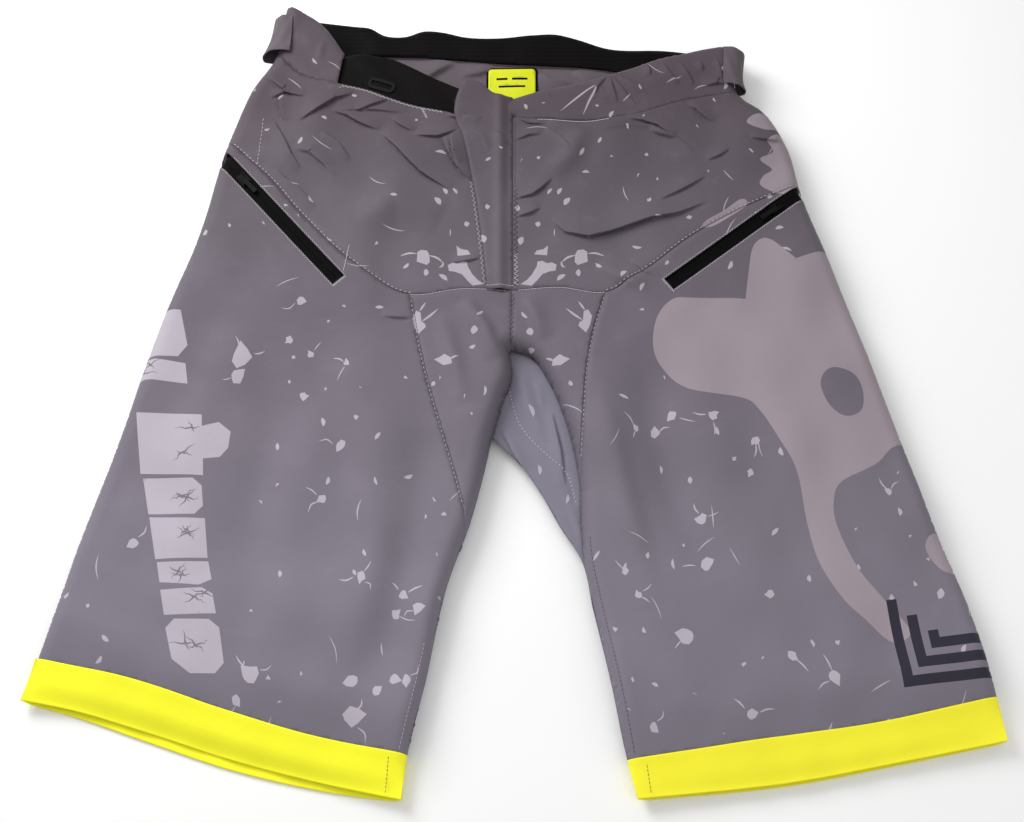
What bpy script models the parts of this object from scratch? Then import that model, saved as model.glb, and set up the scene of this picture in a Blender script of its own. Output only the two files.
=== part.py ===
"""Loose-fit downhill shorts, lying flat on their back.

The garment lies on z = 0 with its front up, its waist towards +Y and its hems towards -Y, so the
wearer's left is +X. Every cloth panel is its own thin shell. Front panels follow front_height(),
back panels follow back_height(), and the two meet along the side folds of the garment.
"""

import math

import bmesh
import bpy
import numpy as np
from mathutils import Matrix, Vector

# Driving dimensions, in metres
CLOTH = 0.0010  # one sewn panel
FOLDED = 0.0016  # two layers sewn together: waistbands, hems, tabs
SEAM = 0.0005  # each panel stops this far short of its seam line
REST_GAP = 0.0003  # between pieces that lie on each other

FRONT_RISE = 0.027  # height of the front at y = 0
FRONT_SLOPE = 0.010  # and how much it gains per metre towards the waist
FRONT_EDGE = 0.0117  # height of the front panels where they fold over to the back
BACK_EDGE = 0.0100  # height of the back panels there
ROLL = 0.012  # how far in from a side fold the cloth is curved
HEM_FALL = 0.070  # how far above a hem the front starts to sink towards it

ZIP_SLOT = 0.0110  # width of black tape that a pocket shows
ZIP_TAPE = 0.0066  # width of each half of a pocket's tape, trimmed into its seams
ZIP_GAP = 0.0016  # between the two halves
COIL = (0.0020, 0.0015)  # width and height of one coil
SLIDER = (0.0110, 0.0085, 0.0010)  # length, width, plate thickness
PULL_LENGTH = 0.0170
PULL_SWING_HEIGHT = 0.0027  # pull's hinge above the tape
TAPE_UNDER_SKIN = 0.0016  # top of a pocket's tape below the front surface
FLY_TAPE_UNDER_SKIN = 0.0035

# Outlines seen from above. Each silhouette runs from the waist down to the hem.
OUTER_RIGHT = (
    (-0.205, 0.351), (-0.208, 0.302), (-0.237, 0.257), (-0.249, 0.205), (-0.265, 0.131),
    (-0.294, 0.032), (-0.318, -0.066), (-0.345, -0.167), (-0.366, -0.250), (-0.3745, -0.280),
)
OUTER_LEFT = (
    (0.2005, 0.307), (0.202, 0.258), (0.217, 0.238), (0.237, 0.204), (0.250, 0.160),
    (0.270, 0.093), (0.293, 0.014), (0.315, -0.066), (0.336, -0.143), (0.357, -0.212),
    (0.370, -0.276), (0.3745, -0.308),
)
CROTCH = (-0.016, -0.063)
INSEAM_RIGHT = (
    CROTCH, (-0.024, -0.100), (-0.034, -0.138), (-0.050, -0.184), (-0.066, -0.262),
    (-0.079, -0.320), (-0.083, -0.351),
)
INSEAM_LEFT = (
    CROTCH, (0.006, -0.085), (0.027, -0.115), (0.043, -0.148), (0.061, -0.172),
    (0.072, -0.206), (0.083, -0.262), (0.090, -0.324), (0.094, -0.351),
)
FOLD_RIGHT = ((-0.002, 0.012), (0.000, -0.010), (-0.007, -0.032), CROTCH)
FOLD_LEFT = ((0.000, 0.013), (0.015, 0.008), (0.031, -0.016), (0.043, -0.047), (0.0505, -0.078), (0.053, -0.092))
YOKE_SEAM_RIGHT = (
    (-0.247, 0.207), (-0.213, 0.174), (-0.177, 0.132), (-0.128, 0.084), (-0.085, 0.059),
    (-0.040, 0.064), (-0.001, 0.063),
)
YOKE_SEAM_LEFT = (
    (0.001, 0.063), (0.040, 0.065), (0.078, 0.061), (0.108, 0.079), (0.151, 0.113),
    (0.190, 0.137), (0.2495, 0.165),
)
# Inner edge of each front leg panel: the seam with the inner thigh, then the fold of the leg
LEG_INNER_RIGHT = (
    (-0.085, 0.059), (-0.078, 0.019), (-0.071, -0.012), (-0.057, -0.062), (-0.043, -0.110),
    (-0.037, -0.138), (-0.050, -0.184), (-0.066, -0.262), (-0.079, -0.320),
)
LEG_INNER_LEFT = (
    (0.078, 0.061), (0.067, 0.024), (0.061, -0.010), (0.058, -0.045), (0.0555, -0.080),
    (0.055, -0.115), (0.062, -0.168), (0.072, -0.206), (0.083, -0.262), (0.090, -0.324),
)
THIGH_TIP_RIGHT, THIGH_TIP_LEFT = -0.130, -0.086  # where each inner-thigh panel ends, along Y
HEM_TOP_RIGHT = ((-0.366, -0.250), (-0.292, -0.264), (-0.216, -0.287), (-0.158, -0.304), (-0.079, -0.320))
HEM_EDGE_RIGHT = (
    (-0.3745, -0.280), (-0.341, -0.286), (-0.277, -0.303), (-0.210, -0.323), (-0.145, -0.339), (-0.083, -0.351),
)
HEM_TOP_LEFT = ((0.090, -0.324), (0.186, -0.309), (0.276, -0.296), (0.370, -0.276))
HEM_EDGE_LEFT = ((0.094, -0.351), (0.215, -0.338), (0.291, -0.324), (0.3745, -0.308))

BAND_SEAM_RIGHT = ((-0.208, 0.302), (-0.187, 0.277), (-0.151, 0.264))
RIM_RIGHT = ((-0.205, 0.351), (-0.172, 0.325), (-0.148, 0.292))
YOKE_TOP_RIGHT = (
    (-0.208, 0.302), (-0.187, 0.2755), (-0.151, 0.261), (-0.102, 0.243), (-0.054, 0.229), (-0.0155, 0.219),
)
BAND_SEAM_LEFT = ((0.002, 0.231), (0.077, 0.228), (0.115, 0.236), (0.150, 0.247), (0.202, 0.258))
RIM_LEFT = ((0.002, 0.256), (0.060, 0.266), (0.095, 0.278), (0.131, 0.290), (0.165, 0.300), (0.2005, 0.307))
BAND_SEAM_BACK = ((-0.208, 0.302), (-0.110, 0.309), (0.000, 0.301), (0.090, 0.294), (0.202, 0.258))
RIM_BACK = (
    (-0.205, 0.351), (-0.143, 0.342), (-0.105, 0.331), (-0.060, 0.338), (0.000, 0.331),
    (0.040, 0.334), (0.085, 0.319), (0.140, 0.316), (0.2005, 0.307),
)
BACK_YOKE_SEAM = ((-0.256, 0.175), (-0.130, 0.160), (0.000, 0.140), (0.130, 0.148), (0.252, 0.152))
BACK_CENTRE_SEAM = (CROTCH, (-0.010, 0.040), (0.000, 0.140))

PLACKET_FREE_EDGE = ((-0.021, 0.062), (-0.027, 0.118), (-0.034, 0.166), (-0.041, 0.206), (-0.053, 0.236), (-0.043, 0.264))
PLACKET_SEWN_EDGE = ((0.000, 0.062), (0.000, 0.257))
FLY_ZIP_X = -0.010
FLY_ZIP = ((FLY_ZIP_X, 0.205), (FLY_ZIP_X, 0.070))  # from the closed end to the open end
POCKET_ZIP_RIGHT = ((-0.249, 0.189), (-0.145, 0.072))  # from the side to the inner end
POCKET_ZIP_LEFT = ((0.247, 0.157), (0.131, 0.068))

STRAP_LINE = ((-0.172, 0.2880), (-0.014, 0.2365))
# Outline of the strap along and across that line: it is widest where it leaves the casing
STRAP_OUTLINE = (
    (0.000, -0.0200), (0.166, -0.0145), (0.166, 0.0125), (0.128, 0.0125), (0.096, 0.0175),
    (0.062, 0.0235), (0.035, 0.0200), (0.020, 0.0130), (0.000, 0.0120),
)

COLLECTION = "downhill_shorts"
GREY = (0.215, 0.195, 0.225, 1)
BLACK = (0.012, 0.011, 0.012, 1)
YELLOW = (0.85, 0.88, 0.05, 1)
METAL = (0.45, 0.45, 0.46, 1)
MESH_CLOTH = (0.05, 0.05, 0.055, 1)


# ---------------------------------------------------------------- plan curves

def curve(points):
    """A smooth plan curve through its points, as a function of 0..1 along its length."""
    p = np.array(points, float)
    s = np.concatenate([[0], np.cumsum(np.linalg.norm(np.diff(p, axis=0), axis=1))])
    s /= s[-1]
    slope = np.gradient(p, s, axis=0)

    def at(t):
        i = int(np.clip(np.searchsorted(s, t) - 1, 0, len(s) - 2))
        h = s[i + 1] - s[i]
        w = (t - s[i]) / h
        return (
            (2 * w**3 - 3 * w**2 + 1) * p[i]
            + (w**3 - 2 * w**2 + w) * h * slope[i]
            + (3 * w**2 - 2 * w**3) * p[i + 1]
            + (w**3 - w**2) * h * slope[i + 1]
        )

    return at


def part_of(line, start, end):
    """The stretch of a curve between two of its own parameters."""
    return lambda t: line(start + (end - start) * t)


def at_level(line, y):
    """The parameter where a curve that only rises or only falls passes height y."""
    low, high = 0.0, 1.0
    rising = line(1)[1] > line(0)[1]
    for _ in range(40):
        middle = (low + high) / 2
        if (line(middle)[1] < y) == rising:
            low = middle
        else:
            high = middle
    return (low + high) / 2


def stretch(line, y_start, y_end):
    return part_of(line, at_level(line, y_start), at_level(line, y_end))


def joined(first, second, share):
    """Two curves end to end; share is the first one's part of the whole."""
    return lambda t: first(t / share) if t < share else second((t - share) / (1 - share))


outer_right, outer_left = curve(OUTER_RIGHT), curve(OUTER_LEFT)
inseam_right, inseam_left = curve(INSEAM_RIGHT), curve(INSEAM_LEFT)
fold_right, fold_left = curve(FOLD_RIGHT), curve(FOLD_LEFT)
leg_inner_right, leg_inner_left = curve(LEG_INNER_RIGHT), curve(LEG_INNER_LEFT)


def sampled(line, count=90):
    return np.array([line(t) for t in np.linspace(0, 1, count)])


def distance(x, y, lines):
    """How far (x, y) lies from the nearest of some sampled lines."""
    best = 1.0
    for line in lines:
        start, way = line[:-1], np.diff(line, axis=0)
        to = np.array((x, y)) - start
        along = np.clip((to * way).sum(1) / (way * way).sum(1), 0, 1)
        best = min(best, float(np.linalg.norm(to - way * along[:, None], axis=1).min()))
    return best


FRONT_FOLDS = [
    sampled(outer_right), sampled(outer_left), sampled(inseam_right), sampled(fold_right),
    sampled(fold_left), sampled(stretch(leg_inner_left, -0.092, -0.324)),
    sampled(stretch(inseam_left, -0.200, -0.351)),
]
GUSSET_FOLDS = [sampled(inseam_left)]
HEM_MOUTHS = [sampled(curve(HEM_EDGE_RIGHT)), sampled(curve(HEM_EDGE_LEFT))]
BACK_FOLDS = [sampled(outer_right), sampled(outer_left), sampled(inseam_right), sampled(inseam_left)]


def roll(d):
    """0 on a side fold, rising smoothly to 1 where the cloth has become flat."""
    return 1 - (1 - min(d / ROLL, 1)) ** 2


def front_level(y):
    return FRONT_RISE + FRONT_SLOPE * y


def sunk_to_hem(d):
    """0 at a hem's edge, rising smoothly to 1 where the front has its full height."""
    t = min(d / HEM_FALL, 1)
    return t * t * (3 - 2 * t)


def front_height(x, y):
    full = roll(distance(x, y, FRONT_FOLDS)) * sunk_to_hem(distance(x, y, HEM_MOUTHS))
    return FRONT_EDGE + (front_level(y) - FRONT_EDGE) * full


def back_height(x, y):
    return BACK_EDGE * (1 - roll(distance(x, y, BACK_FOLDS)))


def gusset_height(x, y):
    """The gusset lies low between the legs, a little lower than the folds of the front."""
    return FRONT_EDGE - 0.0016 * roll(distance(x, y, GUSSET_FOLDS))


def below_front(depth):
    return lambda x, y: front_height(x, y) - depth


# ---------------------------------------------------------------- building blocks

def material(name, colour, roughness=0.85, metallic=0.0):
    made = bpy.data.materials.new(name)
    made.use_nodes = True
    shader = made.node_tree.nodes["Principled BSDF"]
    shader.inputs["Base Color"].default_value = colour
    shader.inputs["Roughness"].default_value = roughness
    shader.inputs["Metallic"].default_value = metallic
    return made


def add_object(name, data, collection, look, parent=None):
    made = bpy.data.objects.new(name, data)
    collection.objects.link(made)
    made.data.materials.append(look)
    made.parent = parent
    return made


def bunched(u):
    """Crowds a grid's lines towards both ends, where the cloth curves over a fold."""
    return u - 0.135 * math.sin(2 * math.pi * u)


def coons(bottom, top, left, right):
    """A plan patch between four curves: two left to right, and two bottom to top."""

    def at(u, v):
        corners = (
            (1 - u) * (1 - v) * bottom(0) + u * (1 - v) * bottom(1) + (1 - u) * v * top(0) + u * v * top(1)
        )
        return (1 - v) * bottom(u) + v * top(u) + (1 - u) * left(v) + u * right(v) - corners

    return at


def reversed_curve(line):
    return lambda t: line(1 - t)


def straight(a, b):
    a, b = np.array(a), np.array(b)
    return lambda t: a + (b - a) * t


def pulled_in(grid, gap):
    """Moves each edge of a grid of plan points towards its neighbours, to leave a gap at the seam."""
    out = grid.copy()
    for axis in (0, 1):
        for edge, inner in ((0, 1), (-1, -2)):
            way = np.take(grid, inner, axis) - np.take(grid, edge, axis)
            length = np.linalg.norm(way, axis=1)[:, None]
            index = [slice(None), slice(None)]
            index[axis] = edge
            out[tuple(index)] += way / length * np.minimum(gap, 0.35 * length)
    return out


def stations(*runs):
    """Where a grid's columns lie, from 0 to 1. Each run is (columns, share of the width)."""
    found, start = [0.0], 0.0
    for columns, share in runs:
        found += [start + share * bunched(i / columns) for i in range(1, columns + 1)]
        start += share
    return found


def cloth(name, patch, cells, height, thickness, look, collection, face_down=False, gap=SEAM):
    """One panel of cloth: a grid over a plan patch, raised to its height, with a thickness inwards.

    cells is (columns, rows), where the columns may be a list of stations.
    """
    across, rows = cells
    across = across if isinstance(across, list) else stations((across, 1.0))
    columns = len(across) - 1
    grid = np.array([[patch(u, j / rows) for j in range(rows + 1)] for u in across])
    grid = pulled_in(grid, gap)
    mesh = bpy.data.meshes.new(name)
    bm = bmesh.new()
    bmesh.ops.create_grid(bm, x_segments=columns, y_segments=rows, size=0.5)
    for vert in bm.verts:
        i, j = round((vert.co.x + 0.5) * columns), round((vert.co.y + 0.5) * rows)
        x, y = grid[i, j]
        vert.co = (x, y, height(x, y))
    if face_down:
        bmesh.ops.reverse_faces(bm, faces=bm.faces)
    bm.to_mesh(mesh)
    bm.free()
    mesh.shade_smooth()
    made = add_object(name, mesh, collection, look)
    thicken(made, thickness)
    return made


def thicken(made, thickness):
    solid = made.modifiers.new("thickness", "SOLIDIFY")
    solid.thickness = thickness
    solid.offset = -1
    return solid


def ring_of_cloth(name, front_patch, back_patch, across, look, collection):
    """A band that goes round a leg: across cells over the front and as many back under it."""
    mesh = bpy.data.meshes.new(name)
    bm = bmesh.new()
    rows = (0.0, 0.5, 1.0)
    rings = []
    for v in rows:
        ring = []
        for i in range(across + 1):
            x, y = front_patch(bunched(i / across), v)
            ring.append(bm.verts.new((x, y, front_height(x, y))))
        for i in range(across, -1, -1):
            x, y = back_patch(bunched(i / across), v)
            ring.append(bm.verts.new((x, y, back_height(x, y))))
        rings.append(ring)
    for low, high in zip(rings, rings[1:]):
        for i in range(len(low)):
            following = (i + 1) % len(low)
            bm.faces.new((low[i], low[following], high[following], high[i]))
    bm.to_mesh(mesh)
    bm.free()
    mesh.shade_smooth()
    made = add_object(name, mesh, collection, look)
    thicken(made, FOLDED)
    return made


def box(name, low, high, look, collection, parent=None, bevel=0.0):
    """A box between two corners, in its parent's own frame, with its edges eased."""
    low, high = Vector(low), Vector(high)
    mesh = bpy.data.meshes.new(name)
    bm = bmesh.new()
    bmesh.ops.create_cube(bm, size=1)
    for vert in bm.verts:
        vert.co = (low + high) / 2 + Vector(a * b for a, b in zip(vert.co, high - low))
    bm.to_mesh(mesh)
    bm.free()
    made = add_object(name, mesh, collection, look, parent)
    if bevel:
        eased = made.modifiers.new("eased_edges", "BEVEL")
        eased.width = bevel
        eased.segments = 1
    return made


def flat_outline(name, outlines, thickness, look, collection, parent=None):
    """A plate from one closed outline, or a ring from two, standing half its thickness each way."""
    data = bpy.data.curves.new(name, "CURVE")
    data.dimensions = "2D"
    data.fill_mode = "BOTH"
    data.extrude = thickness / 2
    for outline in outlines:
        spline = data.splines.new("POLY")
        spline.points.add(len(outline) - 1)
        for point, (x, y) in zip(spline.points, outline):
            point.co = (x, y, 0, 1)
        spline.use_cyclic_u = True
    return add_object(name, data, collection, look, parent)


def rounded_rectangle(length, width, radius, steps=3):
    """An outline with round corners, centred on its origin."""
    points = []
    for quarter, (sx, sy) in enumerate(((1, 1), (-1, 1), (-1, -1), (1, -1))):
        for k in range(steps + 1):
            angle = math.pi / 2 * (quarter + k / steps)
            points.append((
                sx * (length / 2 - radius) + radius * math.cos(angle),
                sy * (width / 2 - radius) + radius * math.sin(angle),
            ))
    return points


def frame_at(name, origin, along, collection):
    """An empty whose +X runs along a line on the front of the garment and whose +Z stands off it."""
    x_axis = Vector((along[0], along[1], along[1] * FRONT_SLOPE)).normalized()
    z_axis = Vector((0, -FRONT_SLOPE, 1)).normalized()
    y_axis = z_axis.cross(x_axis)
    empty = bpy.data.objects.new(name, None)
    collection.objects.link(empty)
    empty.matrix_world = Matrix.Translation(origin) @ Matrix((x_axis, y_axis, z_axis)).transposed().to_4x4()
    return empty


# ---------------------------------------------------------------- zips

def zip_fastener(prefix, start, end, depth, travel, tape_width, looks, collection):
    """A coil zip whose slider is parked at start and opens towards end.

    Its frame has +X along the opening direction and z = 0 on top of the tape.
    """
    start, way = np.array(start), np.array(end) - np.array(start)
    way /= np.linalg.norm(way)
    origin = (start[0], start[1], front_level(start[1]) - depth)
    frame = frame_at(f"{prefix}_frame", origin, way, collection)
    tape, coil, metal = looks
    tape_start, tape_end = -0.0075, travel + 0.0110
    tape_thick = 0.0008
    coil_width, coil_height = COIL
    for side, sign in (("upper", 1), ("lower", -1)):
        inner, outer = sign * ZIP_GAP / 2, sign * (ZIP_GAP / 2 + tape_width)
        box(f"{prefix}_tape_{side}", (tape_start, min(inner, outer), -tape_thick),
            (tape_end, max(inner, outer), 0), tape, collection, frame)
        outer = sign * (ZIP_GAP / 2 + coil_width)
        top = -tape_thick - REST_GAP
        box(f"{prefix}_coil_{side}", (tape_start + 0.002, min(inner, outer), top - coil_height),
            (tape_end - 0.003, max(inner, outer), top), coil, collection, frame, bevel=0.0004)
    slider_body(f"{prefix}_slider", tape_thick + coil_height + 2 * REST_GAP, metal, collection, frame)
    pull_tab(f"{prefix}_pull", metal, collection, frame)
    stop_at = travel + SLIDER[0] / 2 + 0.0010
    box(f"{prefix}_stop", (stop_at, -0.0035, REST_GAP), (stop_at + 0.0018, 0.0035, REST_GAP + 0.0011),
        metal, collection, frame, bevel=0.0003)
    return frame


def slider_body(name, drop, look, collection, frame):
    """Two plates joined by a web that runs between the tapes, with two lugs for the pull."""
    length, width, plate = SLIDER
    half, web = width / 2, 0.0005
    lug_in, lug_out, lug_top = 0.0023, 0.0032, REST_GAP + plate + 0.0024
    right_half = [
        (web, -drop), (half, -drop), (half, -drop - plate),
    ]
    above = [
        (lug_in, REST_GAP + plate), (lug_in, lug_top), (lug_out, lug_top), (lug_out, REST_GAP + plate),
        (half, REST_GAP + plate), (half, REST_GAP), (web, REST_GAP),
    ]
    side = above + right_half
    outline = side + [(-x, y) for x, y in reversed(side)]
    made = flat_outline(name, [outline], length, look, collection, frame)
    made.rotation_euler = Matrix(((0, 0, 1), (1, 0, 0), (0, 1, 0))).to_euler()
    return made


def pull_tab(name, look, collection, frame):
    """A tab whose round end turns between the slider's lugs; its origin is on that hinge."""
    radius, thick, width = 0.0011, 0.0012, 0.0040
    outline = [(PULL_LENGTH, -thick / 2), (PULL_LENGTH, thick / 2)]
    opening = math.asin(thick / 2 / radius)
    turns = 8
    for k in range(turns + 1):
        angle = opening + (2 * math.pi - 2 * opening) * k / turns
        outline.append((radius * math.cos(angle), radius * math.sin(angle)))
    made = flat_outline(name, [outline], width, look, collection, frame)
    made.location = (0, 0, PULL_SWING_HEIGHT)
    made.rotation_euler = (math.pi / 2, 0, 0)
    return made


def cut_slot(panel, start, end, first, last, cutters):
    """Opens a straight slot for a pocket's zip in a finished panel."""
    start, end = np.array(start), np.array(end)
    way = (end - start) / np.linalg.norm(end - start)
    middle = start + way * (first + last) / 2
    mesh = bpy.data.meshes.new(f"{panel.name}_slot")
    bm = bmesh.new()
    bmesh.ops.create_cube(bm, size=1)
    bmesh.ops.scale(bm, vec=(last - first, ZIP_SLOT, 0.020), verts=bm.verts)
    bm.to_mesh(mesh)
    bm.free()
    cutter = bpy.data.objects.new(mesh.name, mesh)
    cutters.objects.link(cutter)
    cutter.location = (middle[0], middle[1], front_level(middle[1]))
    cutter.rotation_euler.z = math.atan2(way[1], way[0])
    cutter.hide_render = True
    cutter.display_type = "WIRE"
    cut = panel.modifiers.new("zip_slot", "BOOLEAN")
    cut.operation = "DIFFERENCE"
    cut.solver = "EXACT"
    cut.object = cutter


# ---------------------------------------------------------------- the garment

def front_panels(looks, collection, cutters):
    grey = looks["shell"]
    leg_columns, thigh_columns = 10, 4
    yoke_right, yoke_left = curve(YOKE_SEAM_RIGHT), curve(YOKE_SEAM_LEFT)
    turn_right = at_x(yoke_right, LEG_INNER_RIGHT[0][0])  # where each thigh seam leaves the yoke seam
    turn_left = at_x(yoke_left, LEG_INNER_LEFT[0][0])
    fly_edge, fly_top, fly_foot = -0.0155, 0.219, 0.0635
    at_fly = at_x(yoke_right, fly_edge)
    along_seam = stations((leg_columns, turn_right), (thigh_columns, 1 - turn_right))
    shared = [s / at_fly for s in along_seam if s < at_fly - 0.01]  # columns in line with the panels below

    cloth("front_yoke_right", coons(
        part_of(yoke_right, 0, at_fly), curve(YOKE_TOP_RIGHT),
        reversed_curve(stretch(outer_right, 0.302, 0.207)),
        straight((fly_edge, fly_foot), (fly_edge, fly_top))),
        (shared + [1.0], 7),
        front_height, CLOTH, grey, collection)
    cloth("front_yoke_left", coons(
        yoke_left, curve(BAND_SEAM_LEFT), straight((0.001, 0.063), (0.002, 0.231)),
        reversed_curve(stretch(outer_left, 0.258, 0.165))),
        (stations((thigh_columns, turn_left), (leg_columns, 1 - turn_left)), 7),
        front_height, CLOTH, grey, collection)

    right = cloth("front_leg_right", coons(
        curve(HEM_TOP_RIGHT), part_of(yoke_right, 0, turn_right),
        reversed_curve(stretch(outer_right, 0.207, -0.250)), reversed_curve(leg_inner_right)),
        (leg_columns, 14), front_height, CLOTH, grey, collection)
    cut_slot(right, *POCKET_ZIP_RIGHT, 0.0205, 0.1565, cutters)
    left = cloth("front_leg_left", coons(
        curve(HEM_TOP_LEFT), part_of(yoke_left, turn_left, 1), reversed_curve(leg_inner_left),
        reversed_curve(stretch(outer_left, 0.165, -0.276))),
        (leg_columns, 14), front_height, CLOTH, grey, collection)
    cut_slot(left, *POCKET_ZIP_LEFT, 0.0205, 0.1462, cutters)

    thigh_right = stretch(leg_inner_right, 0.059, THIGH_TIP_RIGHT)
    inner_right = joined(joined(straight((-0.001, 0.063), (-0.002, 0.012)), fold_right, 0.40),
                         stretch(inseam_right, -0.0635, THIGH_TIP_RIGHT), 0.66)
    cloth("inner_thigh_right", coons(
        straight(thigh_right(1), inner_right(1)), part_of(yoke_right, turn_right, 1),
        reversed_curve(thigh_right), reversed_curve(inner_right)),
        (thigh_columns, 9), front_height, CLOTH, grey, collection)
    thigh_left = stretch(leg_inner_left, 0.061, THIGH_TIP_LEFT)
    inner_left = joined(straight((0.001, 0.063), (0.000, 0.013)),
                        stretch(fold_left, 0.0128, THIGH_TIP_LEFT), 0.30)
    cloth("inner_thigh_left", coons(
        straight(inner_left(1), thigh_left(1)), part_of(yoke_left, 0, turn_left),
        reversed_curve(inner_left), reversed_curve(thigh_left)),
        (thigh_columns, 9), front_height, CLOTH, grey, collection)

    gusset_tip = -0.163
    outside = joined(stretch(fold_right, 0.003, -0.062), stretch(inseam_left, -0.0635, gusset_tip), 0.38)
    inside = joined(stretch(fold_left, 0.0105, -0.091), stretch(leg_inner_left, -0.0925, gusset_tip), 0.60)
    cloth("crotch_gusset", coons(
        straight(outside(1), inside(1)), straight(outside(0), inside(0)),
        reversed_curve(outside), reversed_curve(inside)),
        (3, 14), gusset_height, CLOTH, looks["lining"], collection, gap=0.0010)


def back_panels(looks, collection):
    grey = looks["shell"]
    seam, centre = curve(BACK_YOKE_SEAM), curve(BACK_CENTRE_SEAM)
    middle = at_x(seam, 0.0)
    side_right, side_left = outer_right, outer_left

    def with_crotch(centre_line, inseam, bottom):
        return joined(reversed_curve(stretch(inseam, -0.0635, bottom)), centre_line, 0.60)

    cloth("back_leg_right", coons(
        curve(HEM_TOP_RIGHT), part_of(seam, 0, middle),
        reversed_curve(stretch(side_right, 0.175, -0.250)), with_crotch(centre, inseam_right, -0.320)),
        (10, 12), back_height, CLOTH, grey, collection, face_down=True)
    cloth("back_leg_left", coons(
        curve(HEM_TOP_LEFT), part_of(seam, middle, 1), with_crotch(centre, inseam_left, -0.324),
        reversed_curve(stretch(side_left, 0.152, -0.276))),
        (10, 12), back_height, CLOTH, grey, collection, face_down=True)
    cloth("back_yoke", coons(
        seam, curve(BAND_SEAM_BACK),
        reversed_curve(stretch(side_right, 0.302, 0.175)), reversed_curve(stretch(side_left, 0.258, 0.152))),
        (12, 5), back_height, CLOTH, grey, collection, face_down=True)


def at_x(line, x):
    """The parameter where a curve that runs left to right passes x."""
    low, high = 0.0, 1.0
    for _ in range(40):
        middle = (low + high) / 2
        low, high = (middle, high) if line(middle)[0] < x else (low, middle)
    return (low + high) / 2


def hems(looks, collection):
    for side, top, edge in (
        ("right", HEM_TOP_RIGHT, HEM_EDGE_RIGHT), ("left", HEM_TOP_LEFT, HEM_EDGE_LEFT),
    ):
        low, high = curve(edge), curve(top)

        def patch(u, v, low=low, high=high):
            start = 1 - SEAM / 0.030  # the band stops short of the seam with the leg
            return low(u) + (high(u) - low(u)) * v * start

        ring_of_cloth(f"hem_band_{side}", patch, patch, 10, looks["hem"], collection)


def waistbands(looks, collection):
    grey, black = looks["shell"], looks["elastic"]
    cloth("waistband_front_right", coons(
        curve(BAND_SEAM_RIGHT), curve(RIM_RIGHT),
        straight(BAND_SEAM_RIGHT[0], RIM_RIGHT[0]), straight(BAND_SEAM_RIGHT[-1], RIM_RIGHT[-1])),
        (6, 3), front_height, CLOTH, grey, collection)
    cloth("waistband_front_left", coons(
        curve(BAND_SEAM_LEFT), curve(RIM_LEFT), straight(BAND_SEAM_LEFT[0], RIM_LEFT[0]),
        straight(BAND_SEAM_LEFT[-1], RIM_LEFT[-1])),
        (12, 3), front_height, CLOTH, grey, collection)
    cloth("waistband_back", coons(
        curve(BAND_SEAM_BACK), curve(RIM_BACK), straight(BAND_SEAM_BACK[0], RIM_BACK[0]),
        straight(BAND_SEAM_BACK[-1], RIM_BACK[-1])),
        (14, 3), back_height, FOLDED, grey, collection, face_down=True)

    band_seam, rim = curve(BAND_SEAM_BACK), curve(RIM_BACK)
    cloth("waist_gripper", coons(
        part_of(band_seam, 0.06, 0.93), part_of(rim, 0.06, 0.93),
        straight(band_seam(0.06), rim(0.06)), straight(band_seam(0.93), rim(0.93))),
        (14, 3), lambda x, y: back_height(x, y) + FOLDED + REST_GAP + 0.0012, 0.0012, black, collection)

    facing_depth, elastic_depth = 0.0046, 0.0018
    seam, edge = curve(BAND_SEAM_RIGHT), curve(RIM_RIGHT)
    cloth("waistband_facing_right", coons(
        part_of(seam, 0.32, 0.98), part_of(edge, 0.28, 0.98),
        straight(seam(0.32), edge(0.28)), straight(seam(0.98), edge(0.98))),
        (4, 3), below_front(facing_depth), CLOTH, looks["lining"], collection, gap=0.002)
    seam, edge = curve(BAND_SEAM_LEFT), curve(RIM_LEFT)
    left_strip = coons(
        part_of(seam, 0.02, 0.90), part_of(edge, 0.02, 0.90),
        straight(seam(0.02), edge(0.02)), straight(seam(0.90), edge(0.90)))
    cloth("waist_elastic_left", left_strip, (8, 2), below_front(elastic_depth), 0.0014,
          looks["elastic"], collection, gap=0.003)
    cloth("waistband_facing_left", left_strip, (8, 2), below_front(facing_depth), CLOTH,
          looks["lining"], collection, gap=0.002)


def side_tabs(looks, collection):
    """A folded tab stands round each side of the waistband like a belt loop."""
    for side, sign, bottom, top in (("right", -1, 0.304, 0.348), ("left", 1, 0.262, 0.300)):
        line = outer_right if sign < 0 else outer_left
        mesh = bpy.data.meshes.new(f"side_tab_{side}")
        bm = bmesh.new()
        rows, steps = 2, 9
        bmesh.ops.create_grid(bm, x_segments=steps, y_segments=rows, size=0.5)
        for vert in bm.verts:
            y = bottom + (top - bottom) * (vert.co.y + 0.5)
            edge = line(at_level(line, y))[0]
            high = front_level(y)
            profile = curve((
                (-0.017, high + 0.0022), (-0.008, high + 0.0021), (0.0020, high - 0.0010),
                (0.0080, high - 0.0080), (0.0095, 0.0150), (0.0065, 0.0070), (0.0010, 0.0030),
            ))
            out, z = profile(vert.co.x + 0.5)
            vert.co = (edge + sign * out, y, z)
        if sign < 0:
            bmesh.ops.reverse_faces(bm, faces=bm.faces)
        bm.to_mesh(mesh)
        bm.free()
        mesh.shade_smooth()
        thicken(add_object(mesh.name, mesh, collection, looks["shell"]), 0.0012)


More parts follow.
